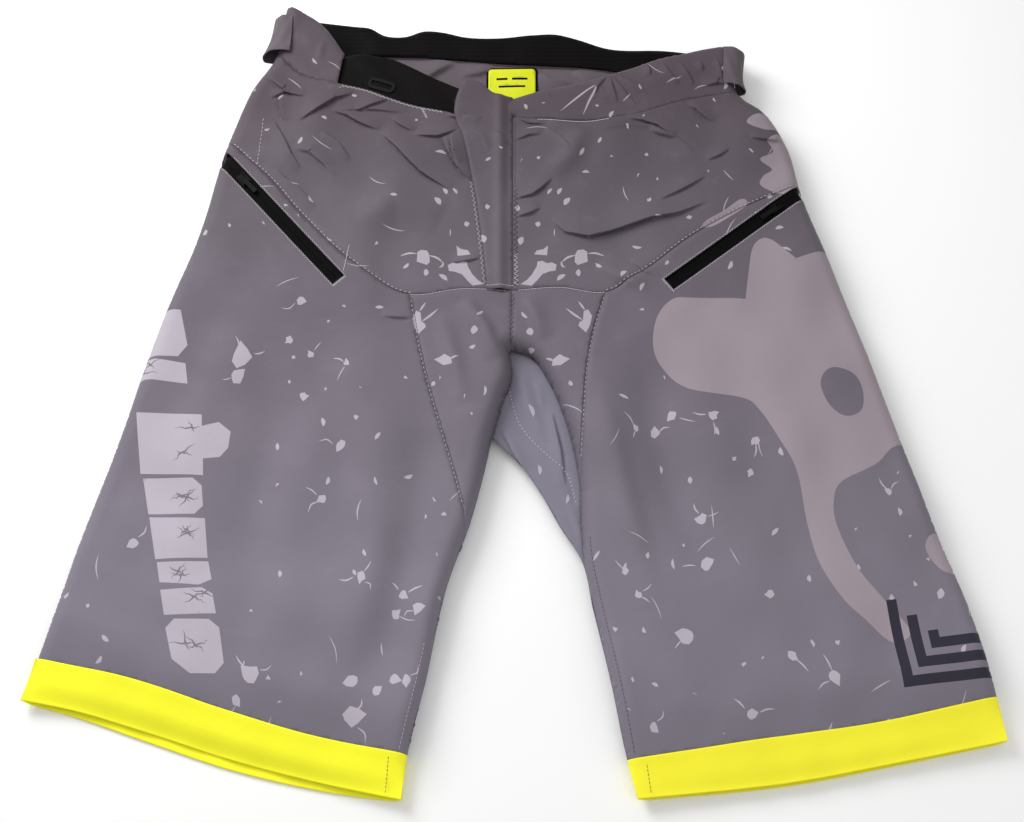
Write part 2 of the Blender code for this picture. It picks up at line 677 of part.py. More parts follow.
def waist_closure(looks, collection):
    start, end = (np.array(p) for p in STRAP_LINE)
    way = (end - start) / np.linalg.norm(end - start)
    depth, thick = 0.0020, 0.0014
    origin = (start[0], start[1], front_level(start[1]) - depth)
    frame = frame_at("strap_frame", origin, way, collection)
    strap = flat_outline("waist_strap", [STRAP_OUTLINE], thick, looks["elastic"], collection, frame)
    strap.location.z = -thick / 2
    for name, along, across in (("closure_bar", 0.062, -0.0060), ("closure_bar_inner", 0.139, 0.0000)):
        ring = flat_outline(name, [rounded_rectangle(0.024, 0.0110, 0.0040), rounded_rectangle(0.019, 0.0050, 0.0020)],
                            0.0010, looks["trim"], collection, frame)
        ring.location = (along, across, REST_GAP + 0.0005)
    hook_base, hook_thick = 0.0044, 0.0006
    hook = flat_outline("waist_hook", [hook_profile(hook_thick)], 0.0090, looks["metal"], collection, frame)
    hook.location = (0.136, 0, hook_base)
    hook.rotation_euler = (math.pi / 2, 0, 0)


def hook_profile(thick):
    """Side view of a bent-plate hook: a flat back and a tongue folded under it."""
    reach, drop, back = 0.0120, 0.0020, -0.0030
    return [
        (back, 0), (back, -thick), (reach - thick, -thick), (reach - thick, -drop + thick),
        (0.0040, -drop + thick), (0.0040, -drop), (reach, -drop), (reach, 0),
    ]


def fly(looks, collection):
    free, sewn = curve(PLACKET_FREE_EDGE), straight(*PLACKET_SEWN_EDGE)
    bottom, top = straight(PLACKET_FREE_EDGE[0], PLACKET_SEWN_EDGE[0]), straight(PLACKET_FREE_EDGE[-1], PLACKET_SEWN_EDGE[1])
    placket_lift, shield_depth = 0.0046, 0.0085
    cloth("fly_placket", coons(bottom, top, free, sewn), (4, 9), below_front(-placket_lift), 0.0012,
          looks["shell"], collection)
    cloth("fly_shield", coons(
        straight((-0.028, 0.070), (0.008, 0.070)), straight((-0.030, 0.214), (0.008, 0.214)),
        straight((-0.028, 0.070), (-0.030, 0.214)), straight((0.008, 0.070), (0.008, 0.214))),
        (3, 4), below_front(shield_depth), CLOTH, looks["lining"], collection)
    zip_fastener("fly_zip", *FLY_ZIP, FLY_TAPE_UNDER_SKIN, 0.112, 0.0100,
                 (looks["tape"], looks["trim"], looks["metal"]), collection)


def pockets(looks, collection):
    zip_looks = (looks["tape"], looks["trim"], looks["trim"])
    for side, line, bag in (
        ("right", POCKET_ZIP_RIGHT, ((-0.232, 0.158), (-0.142, 0.060), (-0.132, -0.060), (-0.150, -0.095),
                                     (-0.235, -0.105), (-0.262, -0.080))),
        ("left", POCKET_ZIP_LEFT, ((0.232, 0.128), (0.128, 0.052), (0.126, -0.070), (0.146, -0.105),
                                   (0.232, -0.112), (0.262, -0.085))),
    ):
        outer, inner = np.array(line[0]), np.array(line[1])
        length = float(np.linalg.norm(inner - outer))
        parked = 0.0280
        start = outer + (inner - outer) / length * parked
        zip_fastener(f"pocket_zip_{side}", start, inner, TAPE_UNDER_SKIN, length - parked - 0.0085,
                     ZIP_TAPE, zip_looks, collection)
        if side == "right":
            bag = tuple(reversed(bag))
        pouch = flat_outline(f"pocket_bag_{side}", [bag], 0.0015, looks["pocket"], collection)
        pouch.location.z = 0.0125
        pouch.rotation_euler.x = math.radians(1.2)


def label(looks, collection):
    """The size label and its backing lie on the inside of the back, under the waistband."""
    for name, grow, height, look in (("label_backing", 0.0, 0.0016, "trim"), ("size_label", 0.0018, 0.0026, "hem")):
        plate = flat_outline(name, [rounded_rectangle(0.046 - 2 * grow, 0.044 - 2 * grow, 0.003)], 0.0006,
                             looks[look], collection)
        plate.location = (0.0, 0.2765, height)


def main():
    for old in list(bpy.data.objects):
        bpy.data.objects.remove(old, do_unlink=True)
    collection = bpy.data.collections.new(COLLECTION)
    cutters = bpy.data.collections.new("cutters")
    for made in (collection, cutters):
        bpy.context.scene.collection.children.link(made)
    looks = {
        "shell": material("shell_cloth", GREY, 0.80),
        "lining": material("lining_cloth", GREY, 0.85),
        "hem": material("hem_cloth", YELLOW, 0.75),
        "elastic": material("black_elastic", BLACK, 0.85),
        "tape": material("zip_tape", BLACK, 0.70),
        "trim": material("black_trim", BLACK, 0.45),
        "metal": material("zip_metal", METAL, 0.35, 1.0),
        "pocket": material("pocket_mesh", MESH_CLOTH, 0.90),
    }
    front_panels(looks, collection, cutters)
    back_panels(looks, collection)
    hems(looks, collection)
    waistbands(looks, collection)
    side_tabs(looks, collection)
    waist_closure(looks, collection)
    fly(looks, collection)
    pockets(looks, collection)
    label(looks, collection)
    bpy.context.view_layer.update()


main()
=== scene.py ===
"""Looks of the loose-fit downhill shorts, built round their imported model.

Metres, +Z up. The garment lies on its back with its waist towards +Y, so the wearer's left is +X.
Every cloth piece is a finely meshed sheet cut to its plan outline. Its height comes from one
function for the whole front, or one for the back, so pieces meet exactly along their seams.
Outlines and folds are written in millimetres, and mm() turns them into metres, as the rest is.
"""

import math

import bpy
import numpy as np
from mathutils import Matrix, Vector
from mathutils.geometry import delaunay_2d_cdt


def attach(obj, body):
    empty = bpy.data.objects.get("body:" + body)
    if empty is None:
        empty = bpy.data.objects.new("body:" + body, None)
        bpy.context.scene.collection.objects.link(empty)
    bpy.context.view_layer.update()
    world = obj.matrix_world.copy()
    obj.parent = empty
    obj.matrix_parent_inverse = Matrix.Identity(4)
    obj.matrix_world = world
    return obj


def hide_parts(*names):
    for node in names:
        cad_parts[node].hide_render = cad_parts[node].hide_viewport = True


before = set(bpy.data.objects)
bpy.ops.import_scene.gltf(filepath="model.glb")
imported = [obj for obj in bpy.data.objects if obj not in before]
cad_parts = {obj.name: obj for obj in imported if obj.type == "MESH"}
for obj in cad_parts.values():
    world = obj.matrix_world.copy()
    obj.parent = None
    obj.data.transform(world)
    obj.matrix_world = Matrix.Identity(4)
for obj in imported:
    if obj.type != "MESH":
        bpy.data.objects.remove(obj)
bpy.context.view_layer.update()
GARMENT = "garment"

# Heights of the garment as it lies
FRONT_RISE, FRONT_SLOPE = 0.027, 0.010
FRONT_EDGE, BACK_EDGE, ROLL, HEM_FALL = 0.0110, 0.0106, 0.0125, 0.070
CLOTH, FOLDED = 0.0007, 0.0014  # thickness of one cloth, and of one folded double
SEAM_DEPTH, SEAM_WIDTH = 0.0008, 0.0016
ZIP_SLOT, TAPE_UNDER_SKIN = 0.0124, 0.0016
SPACING = 0.0030  # between the points of a front panel
CLEAR = 0.0004  # no point of a panel is nearer to its edge


def mm(*points):
    return tuple((x / 1000, y / 1000) for x, y in points)


def fold(height, left, right, *line):
    """A fold: its height, its width to the left of the line's direction and to its right, its line."""
    return height / 1000, left / 1000, right / 1000, mm(*line)


# Outlines seen from above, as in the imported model. Each silhouette runs from waist to hem.
OUTER_RIGHT = mm(
    (-205, 351), (-211, 302), (-233.5, 257), (-250, 205), (-265, 131), (-294, 32), (-318, -66),
    (-345, -167), (-366, -250), (-374.5, -280),
)
OUTER_LEFT = mm(
    (200.5, 307), (202.5, 256), (222.5, 239.5), (241.5, 204), (250, 160), (270, 93), (293, 14), (315, -66),
    (336, -143), (357, -212), (370, -276), (374.5, -308),
)
CROTCH = (-16, -63)
INSEAM_RIGHT = mm(CROTCH, (-24, -100), (-34, -138), (-50, -184), (-66, -262), (-79, -320), (-83, -351))
INSEAM_LEFT = mm(
    CROTCH, (6, -85), (24, -112), (39, -140), (54.5, -165), (63.2, -206), (75.5, -262), (87, -323.5),
    (94, -351),
)
FOLD_RIGHT = mm((-2, 12), (0, -10), (-7, -32), CROTCH)
FOLD_LEFT = mm((0, 13), (15, 8), (31, -16), (43, -47), (50.5, -78), (55.5, -112))
YOKE_SEAM_RIGHT = mm((-247, 207), (-213, 174), (-177, 132), (-128, 84), (-85, 59), (-40, 64), (-1, 63))
YOKE_SEAM_LEFT = mm((1, 63), (40, 65), (78, 61), (108, 79), (151, 113), (190, 137), (249.5, 165))
LEG_INNER_RIGHT = mm(
    (-85, 59), (-78, 19), (-71, -12), (-57, -62), (-43, -110), (-37, -138), (-50, -184), (-66, -262),
    (-79, -320),
)
LEG_INNER_LEFT = mm(
    (78, 61), (67, 24), (61, -10), (58, -45), (55.5, -80), (54.5, -115), (56.8, -168), (64, -206),
    (75.7, -262), (87, -323.5),
)
HEM_TOP_RIGHT = mm((-366, -246.5), (-292, -262.5), (-216, -287), (-158, -304), (-79, -320))
HEM_EDGE_RIGHT = mm((-374.5, -277), (-341, -283), (-277, -301), (-210, -322), (-145, -338.5), (-83, -351.5))
HEM_TOP_LEFT = mm((87, -323.5), (186, -309), (276, -296), (370, -276))
HEM_EDGE_LEFT = mm((94, -351), (215, -338), (291, -324), (374.5, -308))
BAND_SEAM_RIGHT = mm((-211, 302), (-188, 275.3), (-153.5, 263.6))
RIM_RIGHT = mm((-205, 351), (-169, 326.2), (-149, 296.5))
YOKE_TOP_RIGHT = mm((-153.5, 263.6), (-130, 258), (-102, 247.5), (-54, 233.5), (-15.5, 223))
BAND_SEAM_LEFT = mm((2, 231), (77, 228), (115, 236), (150, 247), (202.5, 256))
RIM_LEFT = mm((2, 250.5), (22, 257.5), (60, 266.5), (95, 278), (131, 290), (165, 300), (200.5, 307))
BAND_SEAM_BACK = mm((-211, 302), (-110, 309), (0, 301), (90, 294), (202.5, 256))
RIM_BACK = mm(
    (-205, 351), (-143, 342.5), (-131, 341), (-116, 332.5), (-97, 331.5), (-80, 337.5), (-62, 336),
    (-45, 331.5), (-12, 330), (20, 333.5), (40, 334), (58, 329), (85, 319), (140, 316), (200.5, 307),
)
BACK_YOKE_SEAM = mm((-256, 175), (-130, 160), (0, 140), (130, 148), (252, 152))
BACK_CENTRE_SEAM = mm(CROTCH, (-10, 40), (0, 140))
PLACKET_FREE_EDGE = mm(
    (-21, 63.5), (-27, 118), (-34, 166), (-42, 206), (-50.5, 234), (-48.5, 250), (-43, 265.5),
)
PLACKET_SEWN_EDGE = mm((0, 63.5), (0, 249.7))
PLACKET_TOP = mm((0, 249.7), (-13.2, 251), (-29.9, 263.5), (-43, 265.5))
FLY_X = -0.010
POCKET_ZIP_RIGHT = mm((-249, 189), (-145, 72))
POCKET_ZIP_LEFT = mm((247, 157), (131, 68))
STRAP_LINE = mm((-172, 288), (-14, 236.5))
# The strap's outline along and across that line: widest where it leaves the casing
STRAP_OUTLINE = mm(
    (0, -19.5), (60, -18), (110, -15.8), (166, -14.2), (166, 12.5), (128, 12.5), (96, 17.5), (62, 23.5),
    (35, 20), (20, 13), (0, 12),
)


# ---------------------------------------------------------------- plan geometry

def curve(points):
    """A smooth plan curve through its points, as a function of 0..1 along its length."""
    p = np.array(points, float)
    s = np.concatenate([[0], np.cumsum(np.linalg.norm(np.diff(p, axis=0), axis=1))])
    s /= s[-1]
    slope = np.gradient(p, s, axis=0)

    def at(t):
        i = int(np.clip(np.searchsorted(s, t) - 1, 0, len(s) - 2))
        h = s[i + 1] - s[i]
        w = (t - s[i]) / h
        return (
            (2 * w**3 - 3 * w**2 + 1) * p[i] + (w**3 - 2 * w**2 + w) * h * slope[i]
            + (3 * w**2 - 2 * w**3) * p[i + 1] + (w**3 - w**2) * h * slope[i + 1]
        )

    return at


def where(line, value, axis):
    """The parameter where a curve that only rises or only falls along one axis passes a value."""
    low, high = 0.0, 1.0
    rising = line(1)[axis] > line(0)[axis]
    for _ in range(40):
        middle = (low + high) / 2
        if (line(middle)[axis] < value) == rising:
            low = middle
        else:
            high = middle
    return (low + high) / 2


def run(line, start=0.0, end=1.0, step=0.003):
    """Points along part of a curve, about a step apart."""
    rough = np.array([line(t) for t in np.linspace(start, end, 24)])
    length = np.linalg.norm(np.diff(rough, axis=0), axis=1).sum()
    return np.array([line(t) for t in np.linspace(start, end, max(2, round(length / step)) + 1)])


def stretch(line, y_start, y_end, step=0.003):
    return run(line, where(line, y_start, 1), where(line, y_end, 1), step)


def straight(a, b, step=0.003):
    return run(curve((a, b)), step=step)


def chain(*parts):
    """One closed loop of plan points from several runs, without doubled corners."""
    points = np.concatenate(parts)
    keep = np.linalg.norm(points - np.roll(points, 1, axis=0), axis=1) > 0.0004
    return points[keep]


def smooth_loop(points, per_side=6):
    """A smooth closed loop through a few plan points."""
    p = np.array(points, float)
    found = []
    for i in range(len(p)):
        a, b, c, d = (p[(i + k) % len(p)] for k in (-1, 0, 1, 2))
        for t in np.arange(per_side) / per_side:
            bent = (2 * a - 5 * b + 4 * c - d) * t**2 + (3 * b - a - 3 * c + d) * t**3
            found.append(0.5 * (2 * b + (c - a) * t + bent))
    return np.array(found)


def nearest(points, lines):
    """Distance from each point to the nearest of some polylines."""
    best = np.full(len(points), 1.0)
    for line in lines:
        for a, b in zip(line[:-1], line[1:]):
            way = b - a
            t = np.clip((points - a) @ way / (way @ way), 0, 1)
            away = points - a - t[:, None] * way
            best = np.minimum(best, np.hypot(away[:, 0], away[:, 1]))
    return best


def along(points, line):
    """Signed distance from a polyline (left of its way is positive), how far along it 0..1, and its left."""
    line = np.array(line, float)
    lengths = np.linalg.norm(np.diff(line, axis=0), axis=1)
    done, total = 0.0, lengths.sum()
    best = np.full(len(points), 9.0)
    side, share, left = np.zeros(len(points)), np.zeros(len(points)), np.zeros((len(points), 2))
    for a, b, length in zip(line[:-1], line[1:], lengths):
        way = b - a
        t = np.clip((points - a) @ way / (way @ way), 0, 1)
        away = points - a - t[:, None] * way
        d = np.hypot(away[:, 0], away[:, 1])
        near = d < best
        best = np.where(near, d, best)
        side = np.where(near, way[0] * away[:, 1] - way[1] * away[:, 0], side)
        share = np.where(near, (done + t * length) / total, share)
        left[near] = np.array((-way[1], way[0])) / length
        done += length
    return np.sign(side) * best, share, left


def inside(points, loop):
    x, y = points[:, 0], points[:, 1]
    found = np.zeros(len(points), bool)
    for (x0, y0), (x1, y1) in zip(loop, np.roll(loop, -1, axis=0)):
        if y0 != y1:
            found ^= ((y0 > y) != (y1 > y)) & (x < (x1 - x0) * (y - y0) / (y1 - y0) + x0)
    return found


outer_right, outer_left = curve(OUTER_RIGHT), curve(OUTER_LEFT)
inseam_right, inseam_left = curve(INSEAM_RIGHT), curve(INSEAM_LEFT)
fold_right, fold_left = curve(FOLD_RIGHT), curve(FOLD_LEFT)
leg_inner_right, leg_inner_left = curve(LEG_INNER_RIGHT), curve(LEG_INNER_LEFT)
yoke_right, yoke_left = curve(YOKE_SEAM_RIGHT), curve(YOKE_SEAM_LEFT)
hem_top_right, hem_top_left = curve(HEM_TOP_RIGHT), curve(HEM_TOP_LEFT)
hem_edge_right, hem_edge_left = curve(HEM_EDGE_RIGHT), curve(HEM_EDGE_LEFT)

FRONT_FOLDS = [
    run(outer_right, step=0.012), run(outer_left, step=0.012), run(inseam_right, step=0.012),
    run(fold_right, step=0.008), run(fold_left, step=0.008),
    stretch(leg_inner_left, -0.106, -0.3235, 0.012), stretch(inseam_left, -0.200, -0.351, 0.012),
]
BACK_FOLDS = [run(line, step=0.012) for line in (outer_right, outer_left, inseam_right, inseam_left)]
HEM_MOUTHS = [run(hem_edge_right, step=0.02), run(hem_edge_left, step=0.02)]
ZIP_LINES = [np.array(POCKET_ZIP_RIGHT), np.array(POCKET_ZIP_LEFT)]
SEAMS = [
    run(yoke_right, step=0.006), run(yoke_left, step=0.006), stretch(leg_inner_right, 0.059, -0.130, 0.01),
    stretch(leg_inner_left, 0.061, -0.086, 0.01),
    run(hem_top_right, step=0.012), run(hem_top_left, step=0.012),
    run(curve(BAND_SEAM_LEFT), 0, 0.35), straight((-0.001, 0.063), (-0.002, 0.012)),
]

# ---------------------------------------------------------------- how the cloth lies

# A fold with a narrow width has a steep flank there, where the cloth tucks under itself.
STEEP_FLANK = 0.004
FOLDS = [
    fold(3.4, 8.5, 1.7, (-186, 226), (-169, 240), (-156, 250), (-139, 255)),
    fold(2.6, 6.8, 1.6, (-136, 238), (-124, 244), (-108, 249)),
    fold(3, 9.3, 1.6, (-157, 236), (-143, 233), (-130, 225), (-115, 217)),
    fold(4.2, 13.6, 1.6, (-113, 214), (-97, 200), (-76, 177), (-52, 158)),
    fold(2.6, 6.8, 1.6, (-84, 213), (-65, 212), (-47, 218)),
    fold(3, 1.4, 7.6, (-208, 226), (-200, 206), (-193, 191), (-182, 178)),
    fold(2.4, 5.9, 1.4, (-212, 250), (-200, 258), (-181, 251)),
    fold(2, 5.1, 1.4, (-203, 253), (-201, 240), (-198, 226)),
    fold(2.2, 6.8, 2.2, (-188, 199), (-174, 196), (-160, 184), (-152, 171)),
    fold(2.6, 1.6, 7.6, (-204, 178), (-195, 166), (-183, 157), (-168, 142)),
    fold(6.2, 9, 1.8, (-60, 210), (-49, 194), (-36, 168)),
    fold(2, 4.3, 1.4, (-56, 231), (-40, 229)),
    fold(1.8, 5.9, 1.6, (-50, 90), (-26, 94)),
    fold(1.8, 6.8, 2.2, (-108, 41), (-82, 40)),
    fold(1.8, 4.3, 1.4, (-230, 192), (-216, 180)),
    fold(5.2, 17, 2, (34, 130), (46, 118), (64, 116), (94, 127), (117, 134), (140, 138), (167, 147)),
    fold(2.6, 7.6, 1.6, (124, 150), (145, 161), (166, 172)),
    fold(3, 7.6, 1.6, (3, 150), (16, 155), (34, 170)),
    fold(2.4, 6.8, 1.6, (4, 132), (24, 141)),
    fold(2.8, 6.8, 1.6, (154, 244), (163, 240), (176, 226)),
    fold(2.6, 5.9, 1.6, (168, 262), (181, 267), (193, 262.5)),
    fold(2.8, 8.5, 1.6, (100, 230), (114, 229), (128, 224), (142, 212)),
    fold(2.2, 5.9, 1.6, (120, 218), (142, 209)),
    fold(2.4, 5.9, 1.7, (206, 209), (236, 208)),
    fold(2, 5.9, 1.6, (168, 188), (188, 199)),
    fold(2.4, 12, 5, (72, 87), (89, 74), (117, 64)),
    fold(2.6, 10, 10, (62, 222), (50, 190), (30, 170)),
    fold(3, 16, 16, (-130, 120), (-100, 150), (-60, 130)),
    fold(2.8, 22, 16, (-150, 40), (-120, -60), (-104, -160), (-100, -240)),
    fold(-3.2, 18, 18, (-70, -60), (-78, -140), (-94, -210), (-110, -270)),
    fold(2.4, 26, 20, (-230, 60), (-250, -60), (-262, -180)),
    fold(-2.2, 20, 20, (-200, 20), (-196, -100), (-205, -230)),
    fold(3, 12, 16, (66, 0), (84, -100), (108, -210)),
    fold(-3.2, 20, 18, (98, 20), (122, -80), (150, -190)),
    fold(2.2, 26, 26, (200, 40), (226, -80), (250, -200)),
    fold(3, 5, 11, (-40, 54), (-22, 28), (-12, 0)),
    fold(2.2, 9, 4, (10, 58), (18, 40), (26, 18)),
    fold(2, 8, 6, (-60, 40), (-48, 0), (-40, -40)),
    fold(2.2, 6, 1.5, (-214, 271), (-205, 264), (-194, 256)),
    fold(1.6, 5.5, 1.6, (-152, 239), (-122, 238.5), (-92, 235)),
    fold(3, 6, 1.6, (-52, 214), (-47, 203), (-40, 184)),
    fold(2.2, 5, 1.5, (-104, 229), (-94, 222), (-84, 216)),
    fold(2, 1.5, 6, (-165, 213), (-152, 203), (-140, 188)),
    fold(2, 6, 4, (-163, 318), (-170, 300), (-172, 282)),
    fold(2, 1.5, 6, (30, 218), (40, 208), (50, 196)),
    fold(1.8, 6, 1.5, (2, 208), (14, 214), (26, 214)),
    fold(1.8, 6, 1.5, (4, 232), (14, 226), (30, 224)),
    fold(2.2, 7, 1.5, (100, 92), (112, 80), (124, 75)),
]

# Ridges pressed into the gathered casing by its elastic
for puckered in (
    ((85, 271), (87, 258), (92, 243)), ((88, 270), (99, 252), (110, 241)),
    ((94, 271), (106, 262), (120, 254)), ((83, 272), (74, 262), (70, 246)),
    ((132, 283), (137, 272), (147, 262)), ((147, 284), (154, 271), (160, 262)),
    ((118, 282), (121, 270)), ((164, 288), (168, 276)),
    ((30, 258), (33, 246)), ((178, 298), (181, 284), (186, 270)),
):
    FOLDS.append(fold(1.8, 1.5, 4, *puckered))
# The ridge of the casing's seam where the elastic draws it up
FOLDS.append(fold(1.8, 1.5, 1.8, (56, 223.5), (81, 217.5), (100, 221), (120, 220.5), (138, 212), (156, 196)))
SHARP_FOLDS = [one for one in FOLDS if min(one[1], one[2]) < STEEP_FLANK]
BROAD = 2.0  # a fold without a steep flank stands this much higher than its table says
TUCK = 0.50  # depth of the crease at a steep fold's foot, for its height
CREASE_OUT, CREASE_WIDTH = 1.55, 0.0009  # where that crease lies, in widths of the flank, and its width


def fold_heights(points, folds):
    z = np.zeros(len(points))
    for height, left, right, line in folds:
        near = close_to(points, line, 3 * max(left, right))
        if near.any():
            scale = 1.0 if min(left, right) < STEEP_FLANK else BROAD
            share, _, foot = crest(points[near], left, right, line)
            z[near] += height * scale * (share - TUCK * foot)
    return z


def close_to(points, line, reach):
    low, high = np.min(line, axis=0) - reach, np.max(line, axis=0) + reach
    return ((points > low) & (points < high)).all(axis=1)


def crest(points, left, right, line):
    """A fold's share of its height at each point, the direction to its left, and the crease at its foot."""
    side, share, to_left = along(points, line)
    width = np.where(side > 0, left, right)
    ends = np.sin(math.pi * share) ** 0.8
    steep = min(left, right)
    foot = 0.0
    if steep < STEEP_FLANK:
        off = side * (1 if left < right else -1) - CREASE_OUT * steep
        foot = np.exp(-((off / CREASE_WIDTH) ** 2)) * ends
    return np.exp(-((side / width) ** 2)) * ends, to_left, foot


def rumple(points):
    """Gentle unevenness of cloth that has been laid down by hand, as a sum of long low waves."""
    rng = np.random.default_rng(5)
    shortest, longest, size = 0.035, 0.13, 0.0006
    z = np.zeros(len(points))
    for _ in range(16):
        wavelength = shortest * (longest / shortest) ** rng.random()
        angle = rng.uniform(0.1, math.pi - 0.1)
        way = np.array([math.cos(angle), math.sin(angle)]) * 2 * math.pi / wavelength
        z += size * (wavelength / longest) ** 0.8 * np.sin(points @ way + rng.uniform(0, 2 * math.pi))
    return z


def round_over(d):
    """0 on a side fold, 1 where the cloth has become flat, along a quarter of an ellipse."""
    t = np.clip(d / ROLL, 0, 1)
    return np.sqrt(1 - (1 - t) ** 2)


def smooth(t):
    t = np.clip(t, 0, 1)
    return t * t * (3 - 2 * t)


def risen(points):
    """0 on a side fold or at a hem's mouth, 1 where the front lies at its full height."""
    return round_over(nearest(points, FRONT_FOLDS)) * smooth(nearest(points, HEM_MOUTHS) / HEM_FALL)


def calm(points):
    """Little uneven cloth next to a zip, whose tapes keep it flat."""
    return 0.12 + 0.88 * smooth((nearest(points, ZIP_LINES) - 0.008) / 0.030)


def front_z(points):
    """The height of the front's outer face over each plan point."""
    points = np.asarray(points, float)
    level = FRONT_RISE + FRONT_SLOPE * points[:, 1]
    full = risen(points)
    uneven = fold_heights(points, FOLDS) + rumple(points)
    seam = -SEAM_DEPTH * np.exp(-((nearest(points, SEAMS) / SEAM_WIDTH) ** 2))
    return FRONT_EDGE + (level - FRONT_EDGE + uneven * calm(points)) * full + seam * full


def fold_shift(points):
    """How far the front is pushed sideways in plan: a steep fold's crest leans out by its own height."""
    points = np.asarray(points, float)
    moved = np.zeros_like(points)
    for height, left, right, line in SHARP_FOLDS:
        near = close_to(points, line, 3 * max(left, right))
        if near.any():
            share, to_left, _ = crest(points[near], left, right, line)
            lean = height * (1 if left < right else -1)
            moved[near] += (lean * share)[:, None] * to_left
    return moved * (calm(points) * risen(points) ** 2)[:, None]


def plain_front_z(points):
    """The front without folds, for what lies under it."""
    points = np.asarray(points, float)
    level = FRONT_RISE + FRONT_SLOPE * points[:, 1]
    return FRONT_EDGE + (level - FRONT_EDGE) * risen(points)


def back_z(points):
    """The height of the back's outer face, which lies on the floor and rises at the side folds."""
    points = np.asarray(points, float)
    return BACK_EDGE * (1 - round_over(nearest(points, BACK_FOLDS)))


GUSSET_SEAM = mm((-6, -11), (7, -55), (27, -78), (43, -94), (50, -118))
GUSSET_FOLDS = [
    fold(3, 7, 1.4, (-8, -56), (0, -73.5), (10, -92)),
    fold(1.3, 6, 1.3, (19, -12), (21.5, -22), (25, -34)),
    fold(2.6, 1.4, 6, (32, -40), (39, -73.5), (42, -104)),
    fold(1.2, 5, 5, (6, 0), (12, -30), (28, -66)),
    fold(1.2, 5, 2, (45, -120), (52, -140), (56, -160)),
]
LINING_FOLDS = [
    fold(4, 12, 2.6, (-82, 286), (-67, 296.5), (-52, 306)),
    fold(3, 10, 2.4, (-46, 292), (-30.7, 293.5), (-16, 300)),
    fold(3.4, 2.4, 10, (22, 294), (36, 286), (52, 282)),
    fold(2.8, 9, 2.6, (-110, 296), (-94, 290), (-80, 280)),
    fold(3, 11, 3, (56, 296), (66, 284), (80, 278)),
]


def gusset_z(points):
    points = np.asarray(points, float)
    groove = np.exp(-((nearest(points, [run(curve(GUSSET_SEAM))]) / 0.0020) ** 2))
    return FRONT_EDGE - 0.0010 - 0.0008 * groove + fold_heights(points, GUSSET_FOLDS)


def back_inside_z(points):
    """The back yoke, whose inside shows behind the waist."""
    return back_z(points) + np.maximum(fold_heights(np.asarray(points, float), LINING_FOLDS), 0)


# ---------------------------------------------------------------- printed shapes

def turned(points, angle, centre):
    c, s = math.cos(angle), math.sin(angle)
    return np.array(points) @ np.array(((c, s), (-s, c))) + centre


def chip(rng, size):
    corners = rng.integers(5, 8)
    angles = np.sort(rng.uniform(0, 2 * math.pi, corners))
    reach = size * rng.uniform(0.55, 1.0, corners)
    return np.stack([np.cos(angles) * reach * 0.75, np.sin(angles) * reach], axis=1)


def leaf(length, width, bend):
    t = np.linspace(0, 1, 7)
    half = width / 2 * np.sin(math.pi * t) ** 0.8
    spine = np.stack([bend * length * np.sin(math.pi * t), length * (t - 0.5)], axis=1)
    across = np.array((1.0, 0.0))
    return np.concatenate([spine + half[:, None] * across, (spine - half[:, None] * across)[-2:0:-1]])


def splat(rng, size):
    """An uneven blot with a corner or two drawn out."""
    corners = rng.integers(7, 11)
    angles = np.linspace(0, 2 * math.pi, corners, endpoint=False) + rng.uniform(-0.25, 0.25, corners)
    reach = size * rng.uniform(0.55, 0.88, corners)
    reach[rng.integers(corners)] = size * 1.15
    return np.stack([np.cos(angles) * reach * 0.85, np.sin(angles) * reach], axis=1)


def tail(points, width=0.0013):
    """A thin curved trail of dye through a few points, thickest in its middle."""
    spine = run(curve(points), step=0.0025)
    way = np.gradient(spine, axis=0)
    side = np.stack([-way[:, 1], way[:, 0]], axis=1) / np.linalg.norm(way, axis=1)[:, None]
    half = (width / 2 * np.sin(math.pi * np.linspace(0.12, 0.97, len(spine))))[:, None] * side
    return np.concatenate([spine + half, (spine - half)[::-1]])


def tailed_splat(rng, centre, size, tails):
    shapes = [splat(rng, size) + centre]
    start = rng.uniform(0, 2 * math.pi)
    for k in range(tails):
        angle = start + k * rng.uniform(1.3, 2.4)
        way = np.array((math.cos(angle), math.sin(angle)))
        bend = np.array((-way[1], way[0])) * rng.uniform(-0.003, 0.003)
        first, reach = size * rng.uniform(0.5, 1.2), rng.uniform(0.007, 0.014)
        shapes.append(tail((centre + way * first, centre + way * (first + reach / 2) + bend,
                            centre + way * (first + reach)), rng.uniform(0.0009, 0.0015)))
    return shapes


